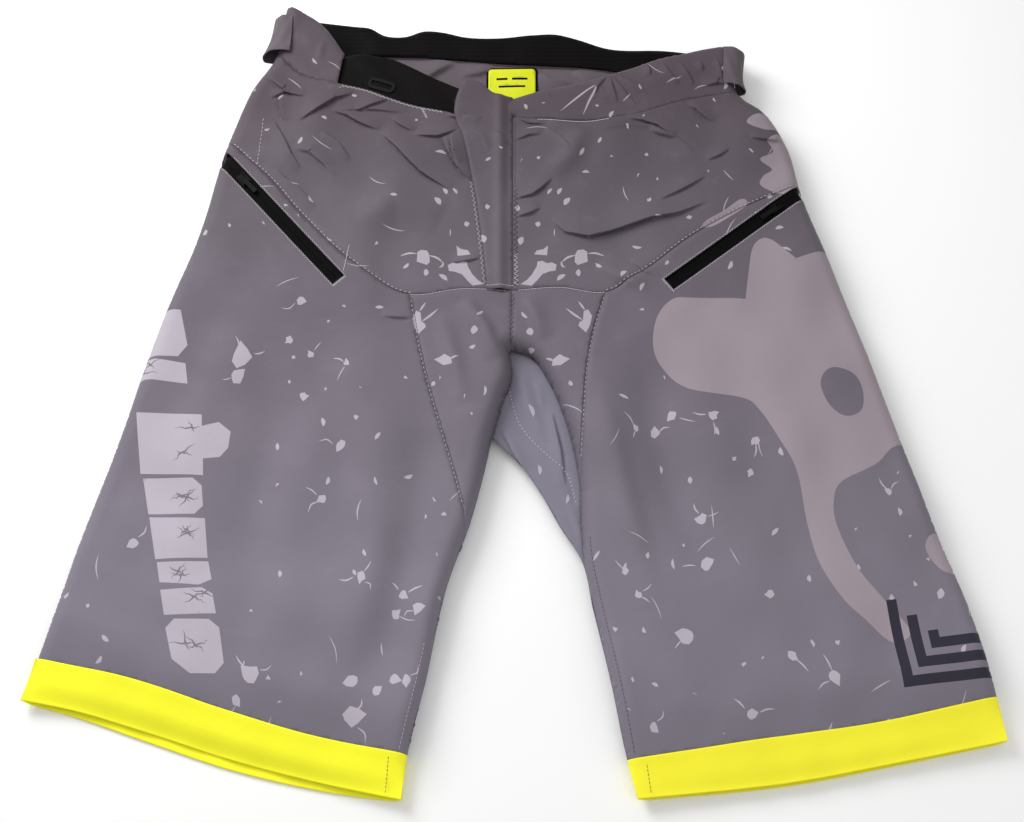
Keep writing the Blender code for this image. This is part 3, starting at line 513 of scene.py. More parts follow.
def splashes():
    """Loose chips, streaks and blots strewn over the whole front."""
    rng = np.random.default_rng(11)
    found, taken = [], []
    kinds = ("chip", "streak", "leaf", "chip", "leaf", "chip", "chip", "streak", "leaf", "chip", "splat")
    tries = 0
    while len(taken) < 270 and tries < 9000:
        tries += 1
        centre = rng.uniform((-0.36, -0.31), (0.36, 0.30))
        if taken and np.linalg.norm(np.array(taken) - centre, axis=1).min() < 0.0145:
            continue
        kind = kinds[len(taken) % len(kinds)]
        crowded = any(inside(centre[None], area)[0] for area in (BIG_PATCH, COLUMN_AREA, FLY_AREA))
        if crowded or (kind == "splat" and centre[1] > 0.08):
            continue
        taken.append(centre)
        angle = rng.normal(0, 0.5) if centre[1] < 0.06 else rng.normal(0.75 * np.sign(-centre[0]), 0.7)
        if kind == "chip":
            found.append(turned(chip(rng, rng.uniform(0.0018, 0.0036)), angle, centre))
        elif kind == "streak":
            long, wide, bend = rng.uniform((0.010, 0.0007, -0.10), (0.026, 0.0012, 0.10))
            shape = leaf(long, wide, bend)
            found.append(turned(shape, angle, centre))
        elif kind == "leaf":
            long, wide, bend = rng.uniform((0.005, 0.0022, -0.15), (0.010, 0.0036, 0.15))
            shape = leaf(long, wide, bend)
            found.append(turned(shape, angle, centre))
        else:
            size = rng.uniform(0.0040, 0.0065)
            found += tailed_splat(rng, centre, size, rng.integers(0, 3))
    return found


# Marks beside the foot of the fly, for the right side: blot outlines, trails, then chips as
# centre, length, width and turn. The left side has their mirror image.
FLY_MIDDLE = -0.0082
FLY_BLOTS = (
    mm(
        (-79.5, 98.5), (-76.5, 100.3), (-71.5, 99.5), (-69.5, 95.5), (-69, 88.5), (-71.5, 85.8),
        (-76, 87.5), (-80, 89),
    ),
    mm(
        (-53.8, 86.3), (-50, 88.5), (-45.8, 87.9), (-41.8, 90.2), (-37.8, 89.6), (-37.2, 85), (-33, 77.2),
        (-28.8, 72.2), (-23.5, 68.4), (-32.8, 66.8), (-37.2, 71.5), (-42, 77.5), (-48, 80), (-52.9, 80.6),
    ),
    mm((-46.8, 104.3), (-45.9, 95.3), (-35, 96.5), (-37.2, 100), (-43, 101.2)),
    mm(
        (-79.4, 44.4), (-82.6, 38.5), (-80.8, 30), (-77.4, 23.4), (-71.2, 29.5), (-72, 32.5), (-75, 34.7),
        (-75.8, 42.6),
    ),
    mm((-64, 0), (-59, 2), (-55.5, 4.2), (-50, 0), (-49, -5), (-56, -5.5)),
)
FLY_TRAILS = (
    mm((-93.5, 95.2), (-86.5, 97.3), (-79.7, 96.5)),
    mm((-69.2, 94.8), (-62.7, 92.6), (-57.8, 88.1)),
    mm((-57.8, 89), (-58.5, 85), (-61.5, 83.6)),
    mm((-74.2, 35), (-67.4, 40), (-61.2, 45.5)),
    mm((-76.5, 44), (-74, 48), (-71.5, 51.5)),
    mm((-50, -1), (-46.5, 1), (-44, 2)),
)
FLY_CHIPS = (
    (-0.0723, 0.0786, 0.0070, 0.0042, 0.0), (-0.0576, 0.0741, 0.0095, 0.0040, 0.9),
    (-0.0891, 0.0854, 0.0070, 0.0030, -0.8), (-0.0573, 0.1559, 0.0075, 0.0034, 0.5),
    (-0.0488, 0.1559, 0.0070, 0.0026, 0.6), (-0.0634, 0.1457, 0.0090, 0.0048, 0.6),
    (-0.0387, 0.1241, 0.0052, 0.0046, 0.2), (-0.0526, 0.1162, 0.0070, 0.0010, 0.0),
    (-0.0243, 0.1089, 0.0080, 0.0050, 0.3), (-0.0212, 0.1392, 0.0052, 0.0040, 0.2),
    (-0.0267, 0.0403, 0.0080, 0.0026, -0.7), (-0.0316, 0.0251, 0.0072, 0.0060, -0.2),
    (-0.0326, 0.0109, 0.0056, 0.0032, -1.2), (-0.0644, -0.0212, 0.0050, 0.0034, -0.5),
)
FLY_AREA = np.array(mm((-98, 166), (82, 166), (82, -12), (-98, -12)))


def fly_splashes():
    right = [np.array(blot) for blot in FLY_BLOTS] + [tail(points, 0.0019) for points in FLY_TRAILS]
    right += [turned(leaf(long, wide, 0.08), turn, (x, y)) for x, y, long, wide, turn in FLY_CHIPS]
    mirrored = [np.stack([2 * FLY_MIDDLE - s[::-1, 0], s[::-1, 1]], axis=1) for s in right]
    # two long thin marks that meet in a point on the left casing
    pointed = mm((72.2, 262.5), (57, 249), (42, 235.5)), mm((72.2, 260), (67.5, 246), (62, 232.5))
    return right + mirrored + [tail(points, 0.0018) for points in pointed]


def gusset_splashes():
    return [turned(leaf(long, wide, 0.1), turn, (x, y)) for x, y, long, wide, turn in (
        (-0.0106, -0.0327, 0.0110, 0.0034, 0.1), (0.0156, -0.0394, 0.0120, 0.0036, 0.35),
        (0.0218, -0.0902, 0.0090, 0.0030, 0.1), (0.0440, -0.1150, 0.0080, 0.0026, -0.2),
    )]


def crack(rng, start, end, width=0.0009):
    """A jagged hairline that tapers away, in the colour of the cloth."""
    start, end = np.array(start), np.array(end)
    t = np.linspace(0, 1, 6)
    way = end - start
    side = np.array((-way[1], way[0])) / np.linalg.norm(way)
    jag = rng.uniform(-0.0014, 0.0014, 6) * np.sin(math.pi * t)
    spine = start + t[:, None] * way + jag[:, None] * side
    half = (width / 2 * (1.1 - t))[:, None] * side
    return np.concatenate([spine + half, (spine - half)[::-1]])


# Corners of the plain tiles in the column down the right leg, from the top
TILES = (
    mm((-292, 46), (-274.5, 44), (-266.5, 12), (-273.5, 2), (-305, 3), (-335, 3), (-335, 45)),
    mm((-340, 0), (-292, 0), (-267, -4), (-264, -22), (-292, -19), (-340, -18)),
    mm(
        (-303.5, -47), (-250, -50), (-249, -60), (-236, -56), (-226, -64), (-227, -78), (-233, -86),
        (-246, -88), (-245, -102), (-296, -99),
    ),
    mm((-293.5, -103), (-253.1, -104), (-245.5, -110.5), (-243.5, -127), (-249.8, -133.5), (-286.3, -133.5)),
    mm((-285.3, -136), (-241.5, -137), (-237.2, -169), (-277.9, -170)),
    mm((-276.5, -172.5), (-236.5, -171.8), (-233, -186), (-242.5, -190.5), (-273.1, -188.5)),
    mm((-272, -194.5), (-240, -192.5), (-231.5, -197.5), (-227.7, -213), (-267.8, -214)),
    mm(
        (-259.9, -217), (-232.8, -217.5), (-224.6, -224), (-219.6, -251), (-225.9, -258.8),
        (-244.9, -258.8), (-259.5, -248), (-266.2, -224),
    ),
)


# Larger blots on the legs: centre, size and number of trails
LEG_BLOTS = (
    (-0.296, -0.157, 0.0062, 1), (-0.198, -0.260, 0.0105, 2), (-0.209, -0.279, 0.0055, 0),
    (-0.121, -0.265, 0.0078, 0), (-0.120, -0.292, 0.0110, 2), (-0.080, -0.264, 0.0055, 2),
    (-0.073, -0.209, 0.0068, 1), (-0.117, -0.184, 0.0060, 3), (-0.165, 0.004, 0.0040, 1),
    (-0.150, -0.120, 0.0048, 2), (0.162, -0.050, 0.0062, 2), (0.1955, -0.0716, 0.0052, 1),
    (0.190, -0.0984, 0.0042, 0), (0.150, -0.1356, 0.0062, 2), (0.1510, -0.1737, 0.0078, 1),
    (0.1330, -0.2300, 0.0090, 1), (0.100, -0.060, 0.0040, 2), (0.088, -0.180, 0.0040, 1),
    (0.180, -0.290, 0.0060, 2), (0.245, -0.262, 0.0070, 2),
)


def block_column():
    """The column of plain cracked tiles, and the blots beside it. The tiles hold no letter."""
    rng = np.random.default_rng(8)
    cracks = []
    for tile in TILES:
        middle, size = np.mean(tile, axis=0), np.ptp(tile, axis=0)
        for _ in range(2):
            a = middle + rng.uniform(-0.26, 0.26, 2) * np.minimum(size, 0.045)
            for angle in rng.uniform(0, 2 * math.pi) + np.array((0.0, 1.3, 3.0, 4.4)):
                reach = rng.uniform(0.006, 0.015)
                way = np.array((math.cos(angle), 0.7 * math.sin(angle)))
                cracks.append(crack(rng, a, a + reach * way, 0.0015))
    blots = tailed_splat(rng, (-0.2235, -0.0165), 0.0085, 1) + tailed_splat(rng, (-0.2205, 0.001), 0.0130, 2)
    for x, y, size, tails in LEG_BLOTS:
        blots += tailed_splat(rng, (x, y), size, tails)
    return [np.array(tile) for tile in TILES], cracks, blots


COLUMN_AREA = np.array(mm((-345, 78), (-205, 78), (-208, -270), (-292, -270)))
BIG_PATCH = smooth_loop(mm(
    (194.8, 58), (198.5, 81), (202.7, 102.1), (211, 110.9), (219.5, 109), (229, 99.5), (237.8, 91),
    (238.6, 90.8), (262.8, 99), (300, 104), (345, 0), (332, -62), (305.7, -75.8), (290.5, -90.7),
    (262.4, -105.4), (254.4, -119.9), (254.5, -141.5), (268.6, -176.9), (286.8, -201.2), (306, -226),
    (292, -235), (272, -218), (255.9, -202.1), (239.6, -174.3), (231.8, -140.7), (226.1, -99.1),
    (214.1, -71.4), (199.9, -45.1), (186.5, -33.7), (143.8, -25.2), (122.5, -4.9), (116, 14.5),
    (120.4, 38.2), (133.6, 54.1), (150, 55.6), (185, 55.6), (193.8, 55.2),
))
PATCH_HOLE = smooth_loop(mm(
    (265.4, -8.3), (279.2, -13.7), (285.1, -27.2), (282.8, -44.3), (269.2, -50), (256.8, -40.5),
    (250.6, -23.4), (255.4, -11.8),
))
HIP_PATCHES = [
    smooth_loop(mm(
        (214, 188), (226, 196), (221, 207), (232, 214), (250, 216), (268, 200), (266, 156), (246, 153),
        (226, 155), (213, 163), (216, 172), (224, 179),
    )),
    smooth_loop(mm((204, 222), (212, 231), (228, 232), (236, 222), (222, 216)), 4),
    smooth_loop(mm((331, -148), (323.7, -161.3), (336.6, -179), (356, -176), (352, -150)), 4),
    smooth_loop(mm(
        (161, 122.5), (166, 128.5), (180, 137), (194, 148), (200, 147.5), (199, 142), (184, 131),
        (170, 122.5),
    ), 4),
]


def leg_mark():
    """A generic dark mark above the left hem: three nested bars that turn a corner."""
    found = []
    for k in range(3):
        low, wide, arm = 0.0135 * k, 0.0080, 0.068 - 0.0135 * k
        bar = np.array((
            (low, low), (arm + 0.05, low), (arm + 0.05, low + wide), (low + wide, low + wide),
            (low + wide, arm), (low, arm),
        ))
        found.append(turned(bar, 0.12, (0.297, -0.270)))
    return found


SPLASH, PATCH, MARK = 1, 2, 3


def finely(loop, step=0.003):
    """A loop with extra points along its long edges, so that its print follows the cloth."""
    runs = []
    for a, b in zip(loop, np.roll(loop, -1, axis=0)):
        runs.append(np.linspace(a, b, max(1, round(np.linalg.norm(b - a) / step)), endpoint=False))
    return np.concatenate(runs)


def printed_shapes():
    """(loop, material slot) in painting order: a later shape covers an earlier one."""
    tiles, cracks, blots = block_column()
    shapes = [(s, SPLASH) for s in splashes() + fly_splashes() + blots + tiles]
    shapes += [(s, 0) for s in cracks]
    shapes += [(BIG_PATCH, PATCH), (PATCH_HOLE, 0)] + [(s, PATCH) for s in HIP_PATCHES]
    return [(finely(s), slot) for s, slot in shapes + [(s, MARK) for s in leg_mark()]]


# ---------------------------------------------------------------- sheets

def spread_points(loop, spacing, seed):
    """Even points inside a loop, a little out of line, clear of its edge."""
    rng = np.random.default_rng(seed)
    low, high = loop.min(axis=0), loop.max(axis=0)
    rows = np.arange(low[1], high[1], spacing * 0.87)
    found = []
    for i, y in enumerate(rows):
        x = np.arange(low[0] + (i % 2) * spacing / 2, high[0], spacing)
        found.append(np.stack([x, np.full(len(x), y)], axis=1))
    points = np.concatenate(found)
    points += rng.uniform(-0.12, 0.12, points.shape) * spacing
    points = points[inside(points, loop)]
    return points[nearest(points, [np.concatenate([loop, loop[:1]])]) > spacing * 0.45]


def beside(line, offsets, step):
    """Rows of points on both sides of a line, to carry a steep flank."""
    dense = run(curve(line), step=step)
    way = np.gradient(dense, axis=0)
    side = np.stack([-way[:, 1], way[:, 0]], axis=1) / np.linalg.norm(way, axis=1)[:, None]
    return np.concatenate([dense + side * offset for offset in offsets])


# How far the rows of points lie from a rounded edge and from a steep fold
BESIDE_EDGE = (-0.0006, 0.0006, -0.0018, 0.0018, -0.0038, 0.0038, -0.0065, 0.0065)
BESIDE_FOLD = (-0.0040, -0.0022, -0.0011, -0.0004, 0.0004, 0.0011, 0.0022, 0.0040)


def sheet_mesh(name, loop, height, spacing=SPACING, shapes=(), holes=(), rounded=(), folds=(), seed=1,
               down=False, shift=None):
    """A triangulated sheet over a plan loop, with printed shapes let into it as their own faces."""
    edge = np.concatenate([loop, loop[:1]])
    extra = [spread_points(loop, spacing, seed)]
    for line in rounded:
        extra.append(beside(line, BESIDE_EDGE, 0.004))
    for _, _, _, line in folds:
        extra.append(beside(line, BESIDE_FOLD, 0.0016))
    points = np.concatenate(extra)
    points = points[inside(points, loop)]
    points = points[nearest(points, [edge]) > CLEAR]
    low, high = loop.min(axis=0) - 0.001, loop.max(axis=0) + 0.001
    used = [(s, slot) for s, slot in shapes if (s.max(axis=0) > low).all() and (s.min(axis=0) < high).all()]
    loops = [loop] + [np.array(h) for h in holes] + [s for s, _ in used]
    verts, edges = [], []
    for one in loops:
        start = len(verts)
        verts += [Vector(p) for p in one]
        edges += [(start + i, start + (i + 1) % len(one)) for i in range(len(one))]
    verts += [Vector(p) for p in points]
    out, _, faces, _, _, _ = delaunay_2d_cdt(verts, edges, [], 0, 1e-7)
    plan = np.array([tuple(v) for v in out])
    faces = np.array([f for f in faces if len(f) == 3])
    middle = plan[faces].mean(axis=1)
    keep = inside(middle, loop)
    for hole in holes:
        keep &= ~inside(middle, np.array(hole))
    faces, middle = faces[keep], middle[keep]
    a, b, c = (plan[faces[:, k]] for k in range(3))
    flat = (b[:, 0] - a[:, 0]) * (c[:, 1] - a[:, 1]) - (b[:, 1] - a[:, 1]) * (c[:, 0] - a[:, 0])
    faces[flat < 0] = faces[flat < 0][:, ::-1]
    slots = np.zeros(len(faces), int)
    for shape, slot in used:
        near = ((middle > shape.min(axis=0)) & (middle < shape.max(axis=0))).all(axis=1)
        hit = np.flatnonzero(near)
        if len(hit):
            slots[hit[inside(middle[hit], shape)]] = slot
    if down:
        faces = faces[:, ::-1]
    kept, faces = np.unique(faces, return_inverse=True)
    faces = faces.reshape(-1, 3)
    plan = plan[kept]
    z = height(plan)
    if shift:
        plan = plan + shift(plan)
    mesh = bpy.data.meshes.new(name)
    mesh.from_pydata([(x, y, h) for (x, y), h in zip(plan, z)], [], faces.tolist())
    mesh.polygons.foreach_set("material_index", slots)
    mesh.update()
    mesh.shade_smooth()
    return mesh


def add(name, mesh, looks, replaces=()):
    made = bpy.data.objects.new(name, mesh)
    bpy.context.scene.collection.objects.link(made)
    for look in looks:
        made.data.materials.append(look)
    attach(made, GARMENT)
    if replaces:
        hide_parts(*replaces)
    return made


def thicken(made, thickness, inner_slot=0):
    solid = made.modifiers.new("thickness", "SOLIDIFY")
    solid.thickness = thickness
    solid.offset = -1
    solid.material_offset = inner_slot
    return made


def plan_size(mesh):
    """The size a piece was cut to: its extents and its area, from its own faces."""
    count = len(mesh.vertices)
    co = np.empty(count * 3)
    mesh.vertices.foreach_get("co", co)
    co = co.reshape(-1, 3)
    area = sum(p.area for p in mesh.polygons)
    wide, tall = np.ptp(co[:, 0]) * 1.02, np.ptp(co[:, 1]) * 1.02
    if wide * tall < area:
        grow = math.sqrt(area / (wide * tall)) * 1.01
        wide, tall = wide * grow, tall * grow
    return (float(wide), float(tall)), float(area)


def cut_piece(name, loop, height, looks, nodes, slot, thickness=CLOTH, **how):
    """A sheet laid on a height function; its last look is that of its inner side."""
    mesh = sheet_mesh(name, loop, height, **how)
    made = add(name, mesh, looks, replaces=nodes)
    flat, area = plan_size(mesh)
    thicken(made, thickness, len(looks) - 1)


# ---------------------------------------------------------------- materials

def node_tree(name):
    made = bpy.data.materials.new(name)
    made.use_nodes = True
    tree = made.node_tree
    return made, tree, tree.nodes["Principled BSDF"]


def put(tree, node, **values):
    """Fills a node's inputs; each may be a socket or a value, and _ in a name stands for a space."""
    for key, value in values.items():
        socket = node.inputs[key.replace("_", " ")]
        if isinstance(value, bpy.types.NodeSocket):
            tree.links.new(value, socket)
        else:
            socket.default_value = value
    return node


def mixed(tree, factor, a, b, blend="MIX"):
    """A colour mix; the factor and each colour may be a socket or a value."""
    node = tree.nodes.new("ShaderNodeMix")
    node.data_type = "RGBA"
    node.blend_type = blend
    for socket, value in ((node.inputs[0], factor), (node.inputs[6], a), (node.inputs[7], b)):
        if isinstance(value, bpy.types.NodeSocket):
            tree.links.new(value, socket)
        else:
            socket.default_value = value
    return node.outputs[2]


def ramp(tree, socket, low, high, to_low=0.0, to_high=1.0):
    node = tree.nodes.new("ShaderNodeMapRange")
    put(tree, node, Value=socket, From_Min=low, From_Max=high, To_Min=to_low, To_Max=to_high)
    return node.outputs["Result"]


def object_place(tree):
    return tree.nodes.new("ShaderNodeTexCoord").outputs["Object"]


def bands(tree, place, direction, pitch, **values):
    """Threads side by side at a real pitch, as a height of 0..1."""
    wave = tree.nodes.new("ShaderNodeTexWave")
    wave.wave_type, wave.bands_direction = "BANDS", direction
    put(tree, wave, Vector=place, Scale=WAVES_PER_UNIT / pitch, **values)
    return wave.outputs["Fac"]


def rotated(tree, place, angle):
    turn = put(tree, tree.nodes.new("ShaderNodeMapping"), Vector=place, Rotation=(0, 0, angle))
    return turn.outputs["Vector"]


def bumped(tree, height, strength, distance, **normal):
    node = tree.nodes.new("ShaderNodeBump")
    put(tree, node, Height=height, Strength=strength, Distance=distance, **normal)
    return node.outputs["Normal"]


def srgb(r, g, b):
    """A display colour, 0..255, as linear light."""
    linear = ((v / 255 / 12.92) if v <= 10 else ((v / 255 + 0.055) / 1.055) ** 2.4 for v in (r, g, b))
    return tuple(linear) + (1.0,)


def scaled(colour, times, plus=0.0):
    return tuple(min(1.0, c * times + plus) for c in colour[:3]) + (1.0,)


WAVES_PER_UNIT = 0.314  # a wave texture's scale for one band in each unit


def weave_pattern(tree, place, pitch, angle, twill):
    """Crossing threads as a height, 0..1, at a real thread pitch."""
    turn = rotated(tree, place, angle)
    product = tree.nodes.new("ShaderNodeMath")
    product.operation = "MAXIMUM"
    for k, direction in enumerate(("DIAGONAL" if twill else "X", "Y")):
        threads = bands(tree, turn, direction, pitch, Distortion=0.4, Detail=1.0, Detail_Scale=2.0)
        tree.links.new(threads, product.inputs[k])
    return product.outputs[0]


def noise(tree, place, scale, detail=3.0, roughness=0.5):
    node = tree.nodes.new("ShaderNodeTexNoise")
    put(tree, node, Vector=place, Scale=scale, Detail=detail, Roughness=roughness)
    return node.outputs["Fac"]


def cloth_look(name, near_waist, on_legs, pitch=0.00055, rough=0.62, sheen=0.04, bump=0.25, variation=0.10,
               twill=False, angle=0.0, gloss=0.18):
    """Woven cloth: threads, slightly uneven dye, a few rubbed places and a soft sheen, with painted shade
    that darkens it towards the waist and between its threads.
    """
    made, tree, shader = node_tree(name)
    place = object_place(tree)
    split = tree.nodes.new("ShaderNodeSeparateXYZ")
    tree.links.new(place, split.inputs[0])
    # Painted shade: the colour runs from the lighter leg colour up to the darker waist colour, as though less
    # light fell on the waist.
    colour = mixed(tree, ramp(tree, split.outputs["Y"], 0.25, -0.18), near_waist, on_legs)
    cloudy = ramp(tree, noise(tree, place, 7.0, 4.0), 0.35, 0.68, 0.0, variation)
    colour = mixed(tree, cloudy, colour, scaled(near_waist, 0.78))
    rubbed = ramp(tree, noise(tree, place, 38.0, 6.0, 0.65), 0.56, 0.80, 0.0, variation * 1.2)
    colour = mixed(tree, rubbed, colour, scaled(on_legs, 1.35, 0.01))
    threads = weave_pattern(tree, place, pitch, angle, twill)
    # Painted shade and highlight of the weave: darker in the hollows between the threads, a little lighter on
    # their tops.
    shade = ramp(tree, threads, 0.0, 1.0, 0.90, 1.04)
    grey = put(tree, tree.nodes.new("ShaderNodeCombineXYZ"), X=shade, Y=shade, Z=shade)
    uneven = ramp(tree, noise(tree, place, 60.0), 0.3, 0.7, rough - 0.05, rough + 0.07)
    weave = bumped(tree, threads, bump, 0.00012)
    put(tree, shader, Base_Color=mixed(tree, 1.0, colour, grey.outputs[0], "MULTIPLY"), Roughness=uneven,
        Sheen_Weight=sheen, Sheen_Roughness=0.45, Specular_IOR_Level=gloss,
        Normal=bumped(tree, noise(tree, place, 75.0, 3.0), 0.35, 0.0009, Normal=weave))
    return made


def hard_look(name, colour, rough, metallic=0.0, scratches=0.25, gloss=0.5):
    """Moulded or plated trim, with faint scratches and duller patches."""
    made, tree, shader = node_tree(name)
    place = object_place(tree)
    worn = ramp(tree, noise(tree, place, 420.0, 6.0, 0.7), 0.52, 0.75, 0.0, scratches)
    duller = ramp(tree, noise(tree, place, 180.0, 4.0), 0.3, 0.7, rough - 0.08, rough + 0.12)
    put(tree, shader, Base_Color=mixed(tree, worn, colour, scaled(colour, 1.8, 0.02)), Roughness=duller,
        Metallic=metallic, Specular_IOR_Level=gloss,
        Normal=bumped(tree, noise(tree, place, 900.0, 2.0), 0.3, 0.0001))
    return made


def elastic_look(name, colour, pitch=0.0016, angle=0.0, rough=0.7, contrast=0.4):
    """Knitted elastic: ribs along its length with a painted highlight on each rib, and a little lint."""
    made, tree, shader = node_tree(name)
    place = object_place(tree)
    ribs = bands(tree, rotated(tree, place, angle), "Y", pitch, Distortion=0.6)
    # Painted highlight: each rib's crest is coloured lighter than its hollows.
    shade = mixed(tree, ramp(tree, ribs, 0.2, 1.0, 0.0, contrast), colour, scaled(colour, 2.2, 0.006))
    lint = ramp(tree, noise(tree, place, 160.0, 6.0, 0.7), 0.60, 0.85, 0.0, 0.10)
    uneven = ramp(tree, noise(tree, place, 90.0), 0.3, 0.7, rough - 0.08, rough + 0.08)
    put(tree, shader, Base_Color=mixed(tree, lint, shade, scaled(colour, 4, 0.02)), Roughness=uneven,
        Sheen_Weight=0.0, Specular_IOR_Level=0.05, Normal=bumped(tree, ribs, 0.5, 0.0003))
    return made


# The darker waist grey is painted shade on the same cloth as the lighter leg grey.
GREY_WAIST_SHADED, GREY_LEG = srgb(76, 67, 74), srgb(119, 113, 125)
shell = cloth_look("shell_cloth_printed", GREY_WAIST_SHADED, GREY_LEG)
splash = cloth_look("print_light", srgb(150, 142, 150), srgb(174, 167, 178), variation=0.06)
patch_print = cloth_look("print_patch", srgb(132, 121, 128), srgb(152, 140, 148), variation=0.05)
mark_print = cloth_look("print_dark", srgb(44, 42, 54), srgb(44, 42, 54), variation=0.08)
lining = cloth_look("lining_cloth_plain", srgb(88, 80, 86), srgb(116, 112, 124), rough=0.75)
gusset_cloth = cloth_look("gusset_cloth", srgb(118, 114, 127), srgb(124, 120, 134), rough=0.70)
yellow = cloth_look(
    "hem_cloth_bright", srgb(250, 247, 40), srgb(251, 248, 46), rough=0.6, sheen=0.1, variation=0.04)
# The left hem's copy of the yellow is darker: painted shade, the same cloth as the right hem in less light.
yellow_painted_shade = cloth_look(
    "hem_cloth_shaded", srgb(248, 240, 46), srgb(250, 242, 50), rough=0.6, sheen=0.1, variation=0.05)


def one_colour(name, colour, **how):
    return cloth_look(name, colour, colour, **how)


label_cloth = one_colour("label_satin", srgb(200, 206, 26), pitch=0.00035, rough=0.45, variation=0.05)
tape_black = one_colour("zip_tape_twill", srgb(9, 8, 8), pitch=0.0007, rough=0.65, sheen=0.0,
                        bump=0.5, variation=0.03, twill=True, gloss=0.04)
elastic = elastic_look("black_elastic_ribs", srgb(9, 8, 8))
gripper_rubber = elastic_look("gripper_ribs", srgb(8, 6, 7), pitch=0.0045, rough=0.6, contrast=0.12)
mesh_cloth = one_colour("pocket_mesh_knit", srgb(60, 60, 64), pitch=0.0012, bump=0.8)
thread = cloth_look(
    "stitch_thread", srgb(188, 182, 187), srgb(192, 188, 196), pitch=0.0003, rough=0.5, variation=0.15)
thread_yellow = one_colour("stitch_thread_yellow", srgb(214, 208, 40), pitch=0.0003, rough=0.5)
thread_dark = one_colour("stitch_thread_dark", srgb(64, 60, 66), pitch=0.0003, rough=0.5)
black_plastic = hard_look("moulded_black", srgb(10, 9, 10), 0.5, 0.0, 0.06, 0.12)
black_zip = hard_look("black_painted_zip", srgb(8, 7, 8), 0.55, 0.0, 0.05, 0.10)
zip_metal = hard_look("plated_zip", srgb(150, 150, 154), 0.35, 1.0)

PRINTED = [shell, splash, patch_print, mark_print, lining]
PLAIN = [shell, lining]


# ---------------------------------------------------------------- stitches and strips

def rows_mesh(name, rows, closed=False):
    """A surface through equal rows of 3-D points."""
    count = len(rows[0])
    verts = [tuple(p) for row in rows for p in row]
    faces = []
    for i in range(len(rows) - 1):
        for j in range(count - (0 if closed else 1)):
            k = (j + 1) % count
            faces.append((i * count + j, i * count + k, (i + 1) * count + k, (i + 1) * count + j))
    mesh = bpy.data.meshes.new(name)
    mesh.from_pydata(verts, [], faces)
    mesh.update()
    mesh.shade_smooth()
    return mesh


ARCH = 0.00012  # the rise of a stitch's middle over its ends


def stitches(name, line, height, look, pitch=0.0032, length=0.0023, width=0.00045, zigzag=0.0, lift=0.00012):
    """Separate thread stitches laid on the cloth along a plan line; zigzag is their half swing."""
    line = np.array(line, float)
    steps = np.linalg.norm(np.diff(line, axis=0), axis=1)
    s = np.concatenate([[0], np.cumsum(steps)])
    places = np.arange(pitch * 0.5, s[-1], pitch)
    if len(places) < 2:
        return None
    centre = np.stack([np.interp(places, s, line[:, k]) for k in (0, 1)], axis=1)
    way = np.gradient(centre, axis=0)
    way /= np.linalg.norm(way, axis=1)[:, None]
    side = np.stack([-way[:, 1], way[:, 0]], axis=1)
    if zigzag:
        sign = np.where(np.arange(len(places)) % 2, 1, -1)[:, None]
        span = way * (pitch / 2) + side * sign * zigzag
    else:
        span = way * length / 2
    ends = (centre - span, centre + span)
    heights = [height(e) + lift for e in ends]
    if height is front_z:
        ends = [e + fold_shift(e) for e in ends]
    verts, faces = [], []
    sides = 5
    for i in range(len(places)):
        a = np.array((*ends[0][i], heights[0][i]))
        b = np.array((*ends[1][i], heights[1][i]))
        along_it = (b - a) / np.linalg.norm(b - a)
        across = np.cross(along_it, (0, 0, 1))
        up = np.cross(across, along_it)
        start = len(verts)
        for share, size in ((0.0, 0.55), (0.25, 1.0), (0.75, 1.0), (1.0, 0.55)):
            p = a + (b - a) * share + up * (ARCH * math.sin(math.pi * share))
            for k in range(sides):
                angle = 2 * math.pi * k / sides
                round_it = math.cos(angle) * across + 0.75 * math.sin(angle) * up
                verts.append(tuple(p + size * width / 2 * round_it))
        for ring in range(3):
            for k in range(sides):
                n = (k + 1) % sides
                low = start + ring * sides
                faces.append((low + k, low + n, low + sides + n, low + sides + k))
        faces.append(tuple(start + k for k in reversed(range(sides))))
        faces.append(tuple(start + 3 * sides + k for k in range(sides)))
    mesh = bpy.data.meshes.new(name)
    mesh.from_pydata(verts, [], faces)
    mesh.update()
    mesh.shade_smooth()
    return add(name, mesh, [look])


def offset_line(line, offset):
    line = np.array(line, float)
    way = np.gradient(line, axis=0)
    side = np.stack([-way[:, 1], way[:, 0]], axis=1) / np.linalg.norm(way, axis=1)[:, None]
    return line + side * offset


# ---------------------------------------------------------------- the cloth pieces

def slot_hole(line, first, last, wide):
    """The opening of a pocket's zip in the plan, as a loop."""
    start, end = np.array(line[0]), np.array(line[1])
    way = (end - start) / np.linalg.norm(end - start)
    side = np.array((-way[1], way[0])) * wide / 2
    count = 40
    upper = [start + way * (first + (last - first) * i / count) + side for i in range(count + 1)]
    lower = [p - 2 * side for p in reversed(upper)]
    return np.array(upper + lower)


RIGHT_SLOT_END, LEFT_SLOT_END = 0.1565, 0.1462
slots_right = slot_hole(POCKET_ZIP_RIGHT, -0.004, RIGHT_SLOT_END, ZIP_SLOT)
slots_left = slot_hole(POCKET_ZIP_LEFT, -0.004, LEFT_SLOT_END, ZIP_SLOT)

turn_right, turn_left = where(yoke_right, -0.085, 0), where(yoke_left, 0.078, 0)
fly_edge = -0.0155
at_fly = where(yoke_right, fly_edge, 0)
yoke_top_right = curve(YOKE_TOP_RIGHT)
band_seam_right, rim_right = curve(BAND_SEAM_RIGHT), curve(RIM_RIGHT)
band_seam_left, rim_left = curve(BAND_SEAM_LEFT), curve(RIM_LEFT)


def tied(line, first=None, last=None):
    """A run whose ends are moved onto given corner points."""
    line = line.copy()
    if first is not None:
        line[0] = first
    if last is not None:
        line[-1] = last
    return line


def at_y(line, y):
    return line(where(line, y, 1))


shapes_printed = printed_shapes()


